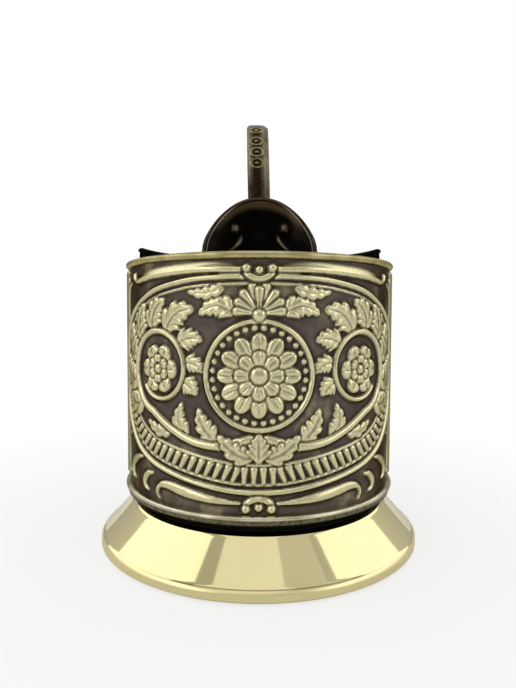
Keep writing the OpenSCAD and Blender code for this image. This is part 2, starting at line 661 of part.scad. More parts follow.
sleeve();
front_rim_bead();
rear_edge_bead();
lower_bead();
cartouche_frame();
panel_ornament();
rear_ornament();
floor_pan();
neck_ring();
base_skirt();
clamp_screw();
clamp_washer();
clamp_nut();
handle_bow();
upper_saddle();
lower_saddle();
upper_rivets();
lower_rivets();
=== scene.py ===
import math

import bpy
import numpy as np
from mathutils import Matrix, Vector


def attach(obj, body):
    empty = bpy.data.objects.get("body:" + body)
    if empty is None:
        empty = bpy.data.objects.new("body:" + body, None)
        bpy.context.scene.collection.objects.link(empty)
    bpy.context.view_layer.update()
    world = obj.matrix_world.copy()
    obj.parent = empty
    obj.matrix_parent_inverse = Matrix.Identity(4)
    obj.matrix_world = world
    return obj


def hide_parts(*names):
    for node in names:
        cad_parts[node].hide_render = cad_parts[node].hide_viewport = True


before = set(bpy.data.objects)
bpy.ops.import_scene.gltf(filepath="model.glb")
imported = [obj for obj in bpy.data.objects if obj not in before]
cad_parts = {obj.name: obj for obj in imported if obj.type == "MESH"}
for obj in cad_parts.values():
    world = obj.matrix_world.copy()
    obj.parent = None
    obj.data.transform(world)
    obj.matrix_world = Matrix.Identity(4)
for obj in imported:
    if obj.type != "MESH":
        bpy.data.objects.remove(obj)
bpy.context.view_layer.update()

# sizes in millimetres, as in the part's source
MM = 0.001
WELL_R, WALL_R = 34.0, 35.0
FLOOR_Z, RIM_Z, SHOULDER_Z, CREST_Z = 15.0, 74.0, 79.7, 100.2
CREST_R, CREST_MID_Z, FILLET_R = 19.0, 81.2, 3.0
SHOULDER_TURN = math.radians(81.5)
SADDLE_Y = 36.2
STRIP_W, STRIP_T = 8.0, 4.0
# how far round the wall from the front's middle the shoulder's end and the back's middle lie
FRONT_S, BACK_S = WALL_R * (math.pi - SHOULDER_TURN), WALL_R * math.pi
# the middle of the net at each side, counted the same way
SIDE_S = 60.2


def ramp(way, wide):
    """Up from 0 at an edge to 1 over a width; way is the distance past the edge."""
    return np.clip(way / wide, 0, 1)


def unit(v):
    return v / np.linalg.norm(v, axis=1)[:, None]


def soften(sheet, spread):
    """Blur a sheet of heights over a few cells."""
    reach = max(1, int(3 * spread + 0.5))
    weights = np.exp(-0.5 * (np.arange(-reach, reach + 1) / spread) ** 2)
    weights /= weights.sum()
    for axis in (0, 1):
        size = sheet.shape[axis]
        pad = [(reach, reach) if k == axis else (0, 0) for k in (0, 1)]
        wide = np.moveaxis(np.pad(sheet, pad, mode="edge"), axis, 0)
        sheet = np.moveaxis(sum(w * wide[k : k + size] for k, w in enumerate(weights)), 0, axis)
    return sheet


def smooth_path(points, steps=6):
    """A smooth curve through points."""
    p = np.asarray(points, float)
    ends = np.vstack([2 * p[0] - p[1], p, 2 * p[-1] - p[-2]])
    out = []
    for a, b, c, d in zip(ends, ends[1:], ends[2:], ends[3:]):
        first, second, third = c - a, 2 * a - 5 * b + 4 * c - d, 3 * b - a - 3 * c + d
        for t in np.arange(steps) / steps:
            out.append((2 * b + first * t + second * t * t + third * t ** 3) / 2)
    out.append(p[-1])
    return np.array(out)


def spiral(mid, r0, r1, a0, a1, steps):
    """An arc or a spiral about a middle, its angles in degrees."""
    a = np.radians(np.linspace(a0, a1, steps))
    r = np.linspace(r0, r1, steps)
    return np.stack([mid[0] + r * np.cos(a), mid[1] + r * np.sin(a)], -1)


def polar(mid, r, a):
    """The point at a radius and an angle in degrees about a middle."""
    return mid[0] + r * math.cos(math.radians(a)), mid[1] + r * math.sin(math.radians(a))


def way_along(points):
    """How far along a path each of its points lies."""
    return np.concatenate([[0.0], np.cumsum(np.hypot(*np.diff(points, axis=0).T))])


def spaced(points, pitch):
    """Places at an even pitch along a path, each with the path's direction there."""
    p = np.asarray(points, float)
    run = way_along(p)
    count = max(2, int(run[-1] / pitch + 0.5))
    for d in (np.arange(count) + 0.5) * run[-1] / count:
        at, on = (np.array([np.interp(d + step, run, p[:, k]) for k in (0, 1)]) for step in (0, 0.4))
        yield at, (on - at) / max(np.hypot(*(on - at)), 1e-6)


class Plate:
    """A flat sheet of chased relief: s runs round the wall, z up it, both in mm."""

    STEP = 0.16
    GROOVE = 0.42
    MARGIN = 0.6

    def __init__(self, s0, s1, z0, z1):
        self.s = np.arange(s0, s1 + self.STEP, self.STEP)
        self.z = np.arange(z0, z1 + self.STEP, self.STEP)
        self.h = np.zeros((len(self.z), len(self.s)))

    def window(self, s0, s1, z0, z1):
        i0, i1 = np.searchsorted(self.s, (s0, s1))
        j0, j1 = np.searchsorted(self.z, (z0, z1))
        grid_s, grid_z = np.meshgrid(self.s[i0:i1], self.z[j0:j1])
        return (slice(j0, j1), slice(i0, i1)), grid_s, grid_z

    def round_window(self, s, z, r):
        """The cells about a middle, each with its distance and its angle."""
        reach = r + self.MARGIN
        win, gs, gz = self.window(s - reach, s + reach, z - reach, z + reach)
        return win, np.hypot(gs - s, gz - z), np.arctan2(gz - z, gs - s)

    def lay(self, win, gap, height):
        """Put a form in front of what is there, with a chased line round it; gap is the way to its edge."""
        behind = self.h[win] * ramp(gap, self.GROOVE)
        self.h[win] = np.where(gap < 0, np.maximum(height, 0.0), behind)

    def lay_rounded(self, win, off, half, h):
        """Put down a line with a round section; off is the way from its middle."""
        self.lay(win, off - half, h * np.sqrt(1 - ramp(off, half) ** 2))

    def near(self, points, reach):
        """How far along a path and how far to its left each nearby cell lies."""
        p = np.asarray(points, float)
        lo, hi = p.min(0) - reach, p.max(0) + reach
        win, s, z = self.window(lo[0], hi[0], lo[1], hi[1])
        run = way_along(p)
        best = np.full(s.shape, 1e9)
        gone = np.zeros(s.shape)
        side = np.zeros(s.shape)
        for a, b, r0, r1 in zip(p[:-1], p[1:], run[:-1], run[1:]):
            d = b - a
            square = d @ d
            if square < 1e-12:
                continue
            u = np.clip(((s - a[0]) * d[0] + (z - a[1]) * d[1]) / square, 0.0, 1.0)
            x, y = s - a[0] - u * d[0], z - a[1] - u * d[1]
            q = x * x + y * y
            hit = q < best
            best = np.where(hit, q, best)
            gone = np.where(hit, r0 + u * (r1 - r0), gone)
            side = np.where(hit, np.sign(d[0] * y - d[1] * x) * np.sqrt(q), side)
        return win, gone / run[-1], side, run[-1]

    def strand(self, points, wide, tip=None, h=0.6):
        """A rounded line that tapers from wide to tip."""
        tip = wide if tip is None else tip
        win, t, n, _ = self.near(points, max(wide, tip) / 2 + self.MARGIN)
        self.lay_rounded(win, np.abs(n), (wide + (tip - wide) * t) / 2, h)

    def both_ends(self, points, wide, tip, h=0.6, belly=0.5):
        """A rounded line that narrows to both ends and is fullest at belly."""
        win, t, n, _ = self.near(points, wide / 2 + self.MARGIN)
        swell = np.sin(np.pi * np.clip(t, 0, 1) ** (math.log(0.5) / math.log(belly)))
        self.lay_rounded(win, np.abs(n), (tip + (wide - tip) * swell) / 2, h)

    def fold(self, points, wide, h):
        """A soft swell that falls away to the left of a path, fullest in its middle."""
        win, t, n, _ = self.near(points, wide + 0.4)
        fall = np.clip(1 - n / wide, 0, 1) ** 1.3 * (n > -0.2)
        self.h[win] = np.maximum(self.h[win], h * fall * np.sin(np.pi * np.clip(t, 0, 1)) ** 0.5)

    def leaf(self, points, width, h, lobes=4):
        """A lobed leaf with a midrib and veins that sweep towards its tip."""
        win, t, n, length = self.near(smooth_path(points, 8), width + 0.7)
        off = np.abs(n)
        swept = np.clip(t - 0.75 * off / length, 0.0, 1.0)
        body = width * np.sin(np.pi * np.clip(t, 0, 1) ** 0.72) ** 0.75
        lobe = np.abs(np.sin(np.pi * lobes * swept)) ** 0.55
        gap = off - body * (0.6 + 0.4 * lobe)
        rib = np.exp(-((n / 0.24) ** 2))
        vein = 0.5 + 0.5 * np.cos(2 * np.pi * lobes * swept)
        dome = ramp(-gap, 0.55) ** 0.5
        self.lay(win, gap, h * dome * (1 - 0.42 * rib) * (1 - 0.3 * vein * np.clip(off / width * 2, 0, 1)))

    def disc(self, s, z, r, h):
        """A round boss."""
        win, d, _ = self.round_window(s, z, r)
        self.lay(win, d - r, h * np.clip(1 - (d / r) ** 2, 0, 1) ** 0.5)

    def flower(self, mid, r, petals, h, heart=0.0, turn=0.0):
        """An open flower with creased petals; heart is the share of it that its round heart takes."""
        win, d, a = self.round_window(*mid, r)
        wave = np.abs(np.cos(petals * (a + turn) / 2))
        edge = r * (0.74 + 0.26 * wave ** 0.6)
        crease = 0.35 + 0.65 * np.clip(wave * 1.5 * np.clip(d / r + 0.25, 0, 1), 0, 1) ** 0.7
        rib = 1 - 0.3 * np.exp(-(((1 - wave) * d) ** 2) / 0.02) * (d > heart * r)
        cup = 0.55 + 0.45 * np.sin(np.clip(d / edge, 0, 1) * 2.3)
        self.lay(win, d - edge, h * ramp(edge - d, 0.4) ** 0.5 * crease * rib * cup)
        if heart:
            self.disc(*mid, heart * r, h * 1.05)

    def beads(self, points, r, pitch, h):
        """A row of round beads along a path."""
        for at, _ in spaced(points, pitch):
            self.disc(*at, r, h)

    def gadroons(self, points, deep, pitch, h):
        """A row of plump drops laid across a path."""
        for at, way in spaced(points, pitch):
            out = np.array([way[1], -way[0]]) * deep / 2 + way * deep * 0.16
            self.strand([at - out, at + out], pitch * 0.5, pitch * 0.82, h)

    def finish(self):
        """Wear the sheet smooth and find its rubbed tops, and the painted shade that falls in the hollows beside
        them.
        """
        self.h = soften(self.h, 0.85)
        wide = soften(self.h, 3.2)
        # painted shade: darker where the blurred sheet stands above a cell, in the hollows beside raised forms
        self.dark = ramp(wide - self.h, 0.16)
        self.rubbed = ramp(self.h - 0.10, 0.22)

    def at(self, sheet, s, z):
        """A sheet's value at any place, read between its cells."""
        i = np.clip((s - self.s[0]) / self.STEP, 0, len(self.s) - 1.001)
        j = np.clip((z - self.z[0]) / self.STEP, 0, len(self.z) - 1.001)
        i0, j0 = i.astype(int), j.astype(int)
        u, v = i - i0, j - j0
        low = sheet[j0, i0] * (1 - u) + sheet[j0, i0 + 1] * u
        high = sheet[j0 + 1, i0] * (1 - u) + sheet[j0 + 1, i0 + 1] * u
        return low * (1 - v) + high * v


OVAL = [
    (-4, 68.75), (4, 68.7), (13.8, 68.3), (20, 67.5), (26.5, 66.2), (31.4, 64.5), (36.5, 62), (41.5, 58.8),
    (46, 54.5), (48.3, 50), (48.7, 45), (46.8, 40), (43.2, 35.5), (39, 31.5), (34, 27.9), (28, 25.4),
    (20.6, 23.7), (12, 22.2), (4.5, 21.3), (-4, 21.2),
]


def inside_oval(inset, first, last):
    """The oval's line from its point first to its point last, moved towards the panel's middle."""
    p = np.array(OVAL[first : last + 1], float)
    d = np.gradient(p, axis=0)
    d /= np.hypot(*d.T)[:, None]
    return smooth_path(p + np.stack([d[:, 1], -d[:, 0]], -1) * inset)


def dress_frame(plate):
    """The cartouche: oval, scrolled bands, crescents and clasps."""
    top = [(2.5, 69.9), (12, 70.3), (20, 69.9), (28, 69.4), (33, 68.8), (35.6, 68.6), (36.9, 69.2),
           (37.2, 70.1)]
    plate.strand(smooth_path(top), 1.9, 1.2, 0.8)
    plate.fold(smooth_path([(5, 70.6), (12, 70.8), (20, 70.4), (28, 69.9), (34, 69.1)]), 1.7, 0.62)
    plate.strand(smooth_path(OVAL, 8), 1.35, h=0.8)
    # the lower band and the two crescents beside it, each with its width, its tips' width and its height
    for points, *sizes in (
        ([(3, 18.7), (9, 19.0), (14.3, 19.6), (18.8, 20.2), (22.4, 20.7), (25.1, 20.3), (26.1, 18.9),
          (25.4, 17.2)], 2.5, 0.5, 0.75, 0.55),
        ([(27.9, 22.7), (30.3, 22.0), (31.7, 20.4), (31.2, 18.8), (29.8, 18.1)], 2.0, 0.4, 0.7),
        ([(32.9, 25.7), (36.3, 24.8), (39.4, 22.7), (39.4, 20.3), (37.9, 19.2)], 2.1, 0.4, 0.7),
    ):
        plate.both_ends(smooth_path(points), *sizes)
    # the clasp at the top, and the same one upside down at the bottom
    for mid, up in ((69.5, 1), (18.5, -1)):
        cup = [(s, mid + lift * up) for s, lift in (
            (-2.9, 1.0), (-2.6, -0.2), (-1.5, -1.05), (0, -1.3), (1.5, -1.05), (2.6, -0.2), (2.9, 1.0))]
        win, s, z = plate.window(-1.4, 4.6, mid - 2.6, mid + 2.6)
        plate.h[win] *= np.clip((np.hypot(s / 4.2, (z - mid) / 2.2) - 0.92) * 8, 0, 1)
        plate.strand(smooth_path(cup, 8), 1.7, h=0.9)
        plate.disc(2.85, mid + up, 1.05, 0.95)
        plate.disc(0, mid + 0.55 * up, 1.05, 1.0)


def around(mid, r, a, far, lean):
    """The spine of a leaf that grows off a ring and leans round it."""
    return [polar(mid, r + far * k, a + lean * k * k) for k in (0.0, 0.35, 0.7, 1.0)]


def dress_panel(plate):
    """A rosette between two scrolls of leaves, inside the oval."""
    plate.strand(inside_oval(1.75, 9, 19), 0.7, h=0.55)
    plate.gadroons(inside_oval(3.95, 10, 18), 3.0, 2.15, 0.7)
    for s in (1.1, 3.3):
        plate.strand([(s, 23.4), (s * 0.94, 26.4)], 1.0, 1.75, 0.7)
    plate.strand(inside_oval(6.15, 10, 19), 0.6, h=0.5)
    plate.strand(inside_oval(1.6, 0, 7), 0.6, h=0.45)
    mid = (25.6, 47.8)
    # the leaves that grow off the scroll, each with its angle, its tip's distance, its width and its lean
    for a, tip, wide, lean in (
        (-50, 17.2, 3.2, 30), (-18, 18.8, 3.7, 27), (14, 17.6, 3.7, 25), (46, 16.4, 3.5, 24),
        (78, 16.4, 3.4, 20), (108, 17.6, 3.5, 20), (138, 14.6, 2.8, 14), (168, 13.4, 2.3, 14),
        (198, 12.6, 2.6, 8),
    ):
        r = 10.4 - 4.0 * (a + 80) / 398
        plate.leaf(around(mid, r, a, tip - r, lean), wide, 0.78)
    # leaves between the scroll, the rosette and the border
    plate.leaf([(5.0, 60.5), (9.4, 62.3), (14.0, 60.4)], 2.7, 0.75)
    plate.leaf([(7.6, 66.2), (12.2, 65.0), (17.0, 65.5)], 1.6, 0.65)
    plate.leaf([(16.4, 32.6), (19.0, 36.2), (18.2, 40.6)], 2.3, 0.75)
    plate.leaf([(9.4, 32.0), (12.7, 35.8), (13.9, 39.6)], 2.5, 0.75)
    plate.leaf([(21.0, 33.6), (25.6, 33.2), (30.4, 35.4)], 1.7, 0.65)
    stem = smooth_path([(2.0, 33.0), (8, 31.3), (14.5, 31.7), (20.8, 33.9), (27.4, 37.4)])
    coil = spiral(mid, 10.5, 6.5, -80, 318, 90)
    plate.strand(np.vstack([stem, coil]), 2.2, 1.1, 0.85)
    plate.flower(mid, 6.0, 6, 0.85)
    plate.flower(mid, 3.5, 6, 0.95, 0.36, math.pi / 6)
    # the central rosette
    rosette = (0, 47.0)
    plate.strand(spiral(rosette, 12.0, 12.0, -180, 180, 90), 1.3, h=0.8)
    plate.beads(spiral(rosette, 10.5, 10.5, -90.0, 270.0, 120), 0.66, 2.06, 0.65)
    plate.flower(rosette, 9.5, 12, 0.85)
    plate.flower(rosette, 5.7, 8, 0.95)
    plate.disc(*rosette, 2.1, 1.0)
    # the palmette over it and the cup of leaves under it
    for a in (76, 53, 30, 8):
        plate.strand([polar((0, 60.4), r, a) for r in (1.0, 4.8 + 1.4 * a / 90)], 0.7, 2.15, 0.8)
    plate.strand([(0, 61.2), (0, 65.6)], 0.8, 2.3, 0.9)
    plate.disc(0, 60.2, 1.5, 0.95)
    plate.leaf([(1.0, 28.6), (5.2, 30.0), (9.4, 33.8)], 2.5, 0.75)
    plate.leaf([(0, 27.6), (0, 30.6), (0, 34.4)], 2.9, 0.95)


def dress_side(plate):
    """The leafy net at each side, between two mouldings."""
    half, tall = 6.6, 10.2
    rows = np.arange(19.0, 70.0, tall)
    for z in rows:
        for way in (1, -1):
            plate.strand(smooth_path([(SIDE_S + way * half * out, z + tall * up) for out, up in (
                (-1, 0), (-0.55, 0.2), (0, 0.5), (0.55, 0.8), (1, 1))]), 1.0, h=0.8)
    for z in rows:
        plate.leaf([(SIDE_S, z + tall * up) for up in (-0.36, 0, 0.36)], 3.0, 1.05)
        for way in (1, -1):
            for bend_up, tip_up in ((0.56, 0.86), (0.44, 0.14)):
                plate.leaf([(SIDE_S + way * out, z + tall * up) for out, up in (
                    (2.6, 0.5), (4.4, bend_up), (6.6, tip_up))], 2.0, 0.95, 3)
            plate.disc(SIDE_S + way * half, z, 1.0, 1.1)
        plate.disc(SIDE_S, z + tall / 2, 1.15, 1.1)
    for s in (SIDE_S - half - 2.0, SIDE_S + half + 2.0):
        plate.strand([(s, 17.8), (s, 71.4)], 2.6, h=1.45)
    for s in (SIDE_S - half - 0.6, SIDE_S + half + 0.6):
        plate.beads([(s, 18.6), (s, 71.0)], 0.36, 1.35, 0.9)
    low = [(42.6, 30.0), (46.2, 28.4), (48.4, 25.4), (48.6, 22.2), (46.8, 19.8)]
    high = [(41.0, 68.4), (45.4, 66.4), (48.0, 62.8), (49.2, 58.4)]
    plate.both_ends(smooth_path(low), 1.8, 0.4)
    plate.both_ends(smooth_path(high), 1.7, 0.4)
    plate.disc(46.0, 69.4, 0.9, 0.7)
    plate.disc(44.6, 19.6, 0.9, 0.7)


def dress_back(plate):
    """Scrolls and leaves on the rear, and a fan on the crest."""
    low = [(103.0, 19.0), (98.0, 22.6), (95.4, 27.6), (92.0, 33.4), (89.4, 34.3)]
    high = [(96.6, 46.6), (98.4, 54.0), (95.4, 60.4), (91.6, 61.6)]
    plate.strand(smooth_path(low), 2.2, 1.8, 0.8)
    plate.strand(smooth_path(high), 1.6, 0.6, 0.6)
    for mid, r, up, angles in (((86.4, 42.6), 8.8, 1, range(50, 251, 40)),
                               ((85.6, 66.4), 5.6, -1, range(30, 311, 40))):
        for a in angles:
            plate.leaf(around(mid, r * 0.98, a, r * 0.6, -30 * up), r * 0.34, 0.8)
        plate.strand(spiral(mid, r, r * 0.62, -70 * up, -450 * up, 80), 1.8, 1.0, 0.85)
        plate.flower(mid, r * 0.52, 6, 0.85, 0.26)
    for points, wide in (
        ([(99.4, 23.6), (100.8, 28.6), (100.4, 34.0)], 2.0),
        ([(96.6, 32.0), (98.6, 37.0), (99.6, 42.0)], 2.4),
        ([(98.8, 50.4), (101.6, 56.4), (101.8, 63.0)], 2.8),
        ([(96.2, 60.0), (97.8, 65.0), (97.6, 71.4)], 2.5),
        ([(95.0, 23.2), (88.8, 21.0), (82.0, 23.0)], 2.8),
        ([(79.8, 19.8), (76.0, 24.6), (73.6, 31.6)], 2.6),
        ([(72.4, 71.6), (76.4, 74.6), (82.4, 76.2)], 1.9),
        ([(73.2, 47.6), (72.4, 53.6), (73.8, 60.8)], 1.9),
        ([(88.0, 76.4), (93.0, 75.2), (97.4, 77.0)], 1.5),
    ):
        plate.leaf(points, wide, 0.8)
    for a in range(98, 179, 16):
        plate.strand([polar((BACK_S, 82.6), r, a) for r in (8.8, 14.2)], 1.1, 3.0, 0.8)


def hammer(plate):
    """Slow unevenness of the drawn sheet."""
    s, z = np.meshgrid(plate.s, plate.z)
    wave = 0.03 * np.sin(s * 0.9 + 1.3 * np.sin(z * 0.5)) * np.sin(z * 0.8 + np.sin(s * 0.4))
    plate.h = np.maximum(plate.h + wave * (plate.h < 0.05), 0.0)


front_plate = Plate(-1.5, FRONT_S + 1.0, FLOOR_Z - 0.5, RIM_Z + 0.5)
dress_side(front_plate)
dress_panel(front_plate)
dress_frame(front_plate)
back_plate = Plate(FRONT_S - 1.0, BACK_S + 1.0, FLOOR_Z - 0.5, CREST_Z + 0.5)
dress_side(back_plate)
dress_back(back_plate)
for plate in (front_plate, back_plate):
    hammer(plate)
    plate.finish()
    # painted shade: the sides are darker than the front and the back
    plate.dark = np.maximum(plate.dark, 0.6 * (np.abs(plate.s - SIDE_S) < 10.6))


def outward(a):
    """The direction away from the well's axis, at an angle from the front."""
    return np.stack([np.sin(a), -np.cos(a), 0 * a], -1)


def wrap(s, z, r):
    """A place on the sheet, bent round the well, in metres."""
    a = s / WALL_R
    return np.stack(np.broadcast_arrays(r * np.sin(a), -r * np.cos(a), z), -1) * MM


def in_scene(name, data):
    """A new object with its data, linked to the scene."""
    thing = bpy.data.objects.new(name, data)
    bpy.context.scene.collection.objects.link(thing)
    return thing


def new_mesh(name, verts, faces=()):
    mesh = bpy.data.meshes.new(name)
    mesh.from_pydata([tuple(v) for v in verts], [], [tuple(f) for f in faces])
    return mesh


def shade_smooth(mesh, crease=None):
    """Shade all faces smooth, but for edges sharper than crease, in degrees."""
    mesh.polygons.foreach_set("use_smooth", np.ones(len(mesh.polygons), bool))
    if crease:
        mesh.set_sharp_from_angle(angle=math.radians(crease))


def make_piece(name, verts, faces, materials, face_slots=None, marks=(), crease=80.0):
    """A piece from its points and faces; marks are named values, one for each point."""
    mesh = new_mesh(name, verts, faces)
    for m in materials:
        mesh.materials.append(m)
    if face_slots is not None:
        mesh.polygons.foreach_set("material_index", np.asarray(face_slots, np.int32))
    for label, values in marks:
        layer = mesh.attributes.new(label, "FLOAT", "POINT")
        layer.data.foreach_set("value", np.asarray(values, np.float32))
    shade_smooth(mesh, crease)
    mesh.update()
    return in_scene(name, mesh)


def fit(piece, slot, *nodes):
    """Set a piece on the holder in place of the CAD nodes that it shows."""
    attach(piece, "root")
    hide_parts(*nodes)


def wall_block(outer, inner):
    """A closed stretch of wall between an outer and an inner grid with the same columns."""
    o = np.arange(outer[..., 0].size).reshape(outer.shape[:2])
    i = o.size + np.arange(inner[..., 0].size).reshape(inner.shape[:2])
    shown = np.stack([o[:-1, :-1], o[:-1, 1:], o[1:, 1:], o[1:, :-1]], -1).reshape(-1, 4).tolist()
    rest = np.stack([i[:-1, :-1], i[1:, :-1], i[1:, 1:], i[:-1, 1:]], -1).reshape(-1, 4).tolist()
    rest += np.stack([o[0, 1:], o[0, :-1], i[0, :-1], i[0, 1:]], -1).tolist()
    rest += np.stack([o[-1, :-1], o[-1, 1:], i[-1, 1:], i[-1, :-1]], -1).tolist()
    rest.append(o[::-1, 0].tolist() + i[:, 0].tolist())
    rest.append(o[:, -1].tolist() + i[::-1, -1].tolist())
    verts = np.vstack([outer.reshape(-1, 3), inner.reshape(-1, 3)])
    return verts, shown + rest, [0] * len(shown) + [1] * len(rest)


def sweep(path, across, up, section, closed=False, sizes=None):
    """A closed section carried along a path; across and up are its axes at each place."""
    n, m = len(path), len(section)
    sizes = np.ones(n) if sizes is None else sizes
    arms = across[:, None] * section[None, :, :1] + up[:, None] * section[None, :, 1:2]
    verts = path[:, None] + arms * sizes[:, None, None]
    index = np.arange(n * m).reshape(n, m)
    a = index if closed else index[:-1]
    b = np.roll(index, -1, 0) if closed else index[1:]
    faces = np.stack([a, np.roll(a, -1, 1), np.roll(b, -1, 1), b], -1).reshape(-1, 4).tolist()
    if not closed:
        faces.append(index[0][::-1].tolist())
        faces.append(index[-1].tolist())
    return verts.reshape(-1, 3), faces


def round_section(half_w, half_h, power=2.4, steps=20):
    """A section between an oval and a box; a higher power makes it squarer."""
    a = np.linspace(0, 2 * np.pi, steps, endpoint=False)
    return np.stack([half * np.sign(v) * np.abs(v) ** (2 / power)
                     for half, v in ((half_w, np.cos(a)), (half_h, np.sin(a)))], -1)


def outwards(piece):
    """Turn all faces of a closed piece outwards, by the sign of its volume."""
    mesh = piece.data
    mesh.calc_loop_triangles()
    co = np.array([v.co for v in mesh.vertices])
    tri = np.array([t.vertices for t in mesh.loop_triangles])
    a, b, c = co[tri[:, 0]], co[tri[:, 1]], co[tri[:, 2]]
    if np.einsum("ij,ij->i", a, np.cross(b, c)).sum() < 0:
        mesh.flip_normals()
    return piece


def empty_tree(owner):
    """The node tree of a new material or world, cleared."""
    owner.use_nodes = True
    owner.node_tree.nodes.clear()
    return owner.node_tree


def put(tree, kind, inputs=(), **props):
    """Add a node to a tree and link or set its inputs; a colour is given as three numbers."""
    node = tree.nodes.new(kind)
    for key, value in props.items():
        setattr(node, key, value)
    for key, value in dict(inputs).items():
        socket = node.inputs[key]
        if isinstance(value, bpy.types.NodeSocket):
            tree.links.new(value, socket)
        else:
            socket.default_value = (*value, 1.0) if socket.type == "RGBA" else value
    return node


def maths(tree, kind, a, b=0.0):
    return put(tree, "ShaderNodeMath", {0: a, 1: b}, operation=kind).outputs[0]


def spread(tree, value, low, high, to_low=0.0, to_high=1.0):
    """Carry the range from low to high over to the one from to_low to to_high."""
    return put(tree, "ShaderNodeMapRange", {"Value": value, "From Min": low, "From Max": high,
                                            "To Min": to_low, "To Max": to_high}).outputs["Result"]


class Finish:
    """A node material for one finish of the holder."""

    def __init__(self, name, tint=(1.0, 1.0, 1.0), metallic=1.0):
        self.mat = bpy.data.materials.new(name)
        self.tree = empty_tree(self.mat)
        self.shader = put(self.tree, "ShaderNodeBsdfPrincipled", {
            "Metallic": metallic, "Specular Tint": tint})
        put(self.tree, "ShaderNodeOutputMaterial", {"Surface": self.shader.outputs["BSDF"]})
        self.coords = put(self.tree, "ShaderNodeTexCoord").outputs["Object"]

    def noise(self, size_mm, detail=4.0, roughness=0.55, stretch=None):
        """Cloudy values from 0 to 1; a stretch above 1 packs them closer along its axis."""
        where = self.coords
        if stretch:
            where = put(self.tree, "ShaderNodeMapping", {"Vector": where, "Scale": stretch}).outputs["Vector"]
        return put(self.tree, "ShaderNodeTexNoise", {
            "Vector": where, "Scale": 1000.0 / size_mm, "Detail": detail, "Roughness": roughness}).outputs["Fac"]

    def axis(self, name):
        """One of the piece's own coordinates, in metres."""
        return put(self.tree, "ShaderNodeSeparateXYZ", {0: self.coords}).outputs[name]

    def mark(self, name):
        """A named value of the piece's points."""
        return put(self.tree, "ShaderNodeAttribute", attribute_name=name).outputs["Fac"]

    def spread(self, *values):
        return spread(self.tree, *values)

    def maths(self, kind, *values):
        return maths(self.tree, kind, *values)

    def times(self, a, b):
        return self.maths("MULTIPLY", a, b)

    def blend(self, share, a, b):
        """The colour a, with a share of the colour b in it."""
        return put(self.tree, "ShaderNodeMix", {0: share, 6: a, 7: b}, data_type="RGBA").outputs[2]

    def done(self, colour, rough, grain, deep_mm, strength):
        """Put the finish together, with grain as its bump, and hand out its material."""
        bump = put(self.tree, "ShaderNodeBump", {
            "Strength": strength, "Distance": deep_mm * MM, "Height": grain})
        for name, value in (("Base Color", colour), ("Roughness", rough), ("Normal", bump.outputs["Normal"])):
            self.tree.links.new(value, self.shader.inputs[name])
        return self.mat


WARM_TINT = (0.6, 0.56, 0.46)
BROWN = (0.084, 0.056, 0.028)


def relief_finish():
    f = Finish("rubbed relief brass", (0.32, 0.30, 0.25))
    fine, broad = f.noise(0.5, 5.0), f.noise(7.0, 5.0, 0.62)
    patina = f.blend(f.spread(broad, 0.35, 0.68), (0.098, 0.078, 0.064), (0.172, 0.143, 0.112))
    ground = f.blend(f.spread(broad, 0.54, 0.70, 0.0, 0.58), patina, (0.44, 0.39, 0.22))
    tops = f.blend(f.spread(fine, 0.3, 0.7), (0.66, 0.60, 0.33), (0.84, 0.785, 0.50))
    rubbed = f.times(f.mark("rubbed"), f.spread(f.noise(2.2), 0.24, 0.40, 0.82, 1.0))
    skin = f.blend(rubbed, ground, tops)
    # painted shade: the dark mark darkens the hollows beside raised forms, and the sides, towards near black
    colour = f.blend(f.times(f.mark("dark"), 0.86), skin, (0.028, 0.021, 0.016))
    rough = f.spread(f.maths("ADD", rubbed, f.times(fine, 0.3)), 0.0, 1.3, 0.42, 0.14)
    return f.done(colour, rough, f.noise(0.32, 3.0), 0.02, 0.22)


def plain_brass(name, low, high, size_mm, roughness, deep_mm, metallic=1.0):
    """A finish that clouds from one colour to another."""
    f = Finish(name, WARM_TINT, metallic)
    colour = f.blend(f.spread(f.noise(size_mm, 5.0, 0.6), 0.36, 0.64), low, high)
    rough = f.spread(f.noise(size_mm * 0.6), 0.3, 0.7, *roughness)
    return f.done(colour, rough, f.noise(0.4), deep_mm, 0.6)


def inner_finish():
    f = Finish("blackened inner wall")
    cloud = f.noise(9.0, 4.0, 0.5)
    brown = f.times(f.mark("brown"), f.spread(cloud, 0.3, 0.6, 0.75, 1.0))
    black = f.blend(f.spread(cloud, 0.5, 0.8), (0.003, 0.0025, 0.002), (0.016, 0.012, 0.008))
    # painted glint: on the inner wall this mark brings the bosses and folds towards pale brass, in place of
    # their highlights
    rubbed = f.times(f.mark("rubbed"), f.spread(f.noise(1.6), 0.3, 0.6, 0.3, 1.0))
    colour = f.blend(rubbed, f.blend(brown, black, BROWN), (0.30, 0.25, 0.17))
    return f.done(colour, f.spread(f.noise(3.0), 0.3, 0.7, 0.22, 0.32), f.noise(1.2, 3.0), 0.01, 0.4)


def pan_finish():
    f = Finish("rough pan brass")
    fine = f.noise(0.8, 5.0, 0.6)
    edge = f.blend(f.spread(fine, 0.36, 0.66), (0.080, 0.072, 0.040), (0.25, 0.23, 0.125))
    # painted shade: black low down, brass from a height of 14.3 mm
    colour = f.blend(f.spread(f.axis("Z"), 0.01404, 0.0143), (0.003, 0.003, 0.003), edge)
    return f.done(colour, f.spread(fine, 0.3, 0.7, 0.34, 0.5), fine, 0.05, 0.5)


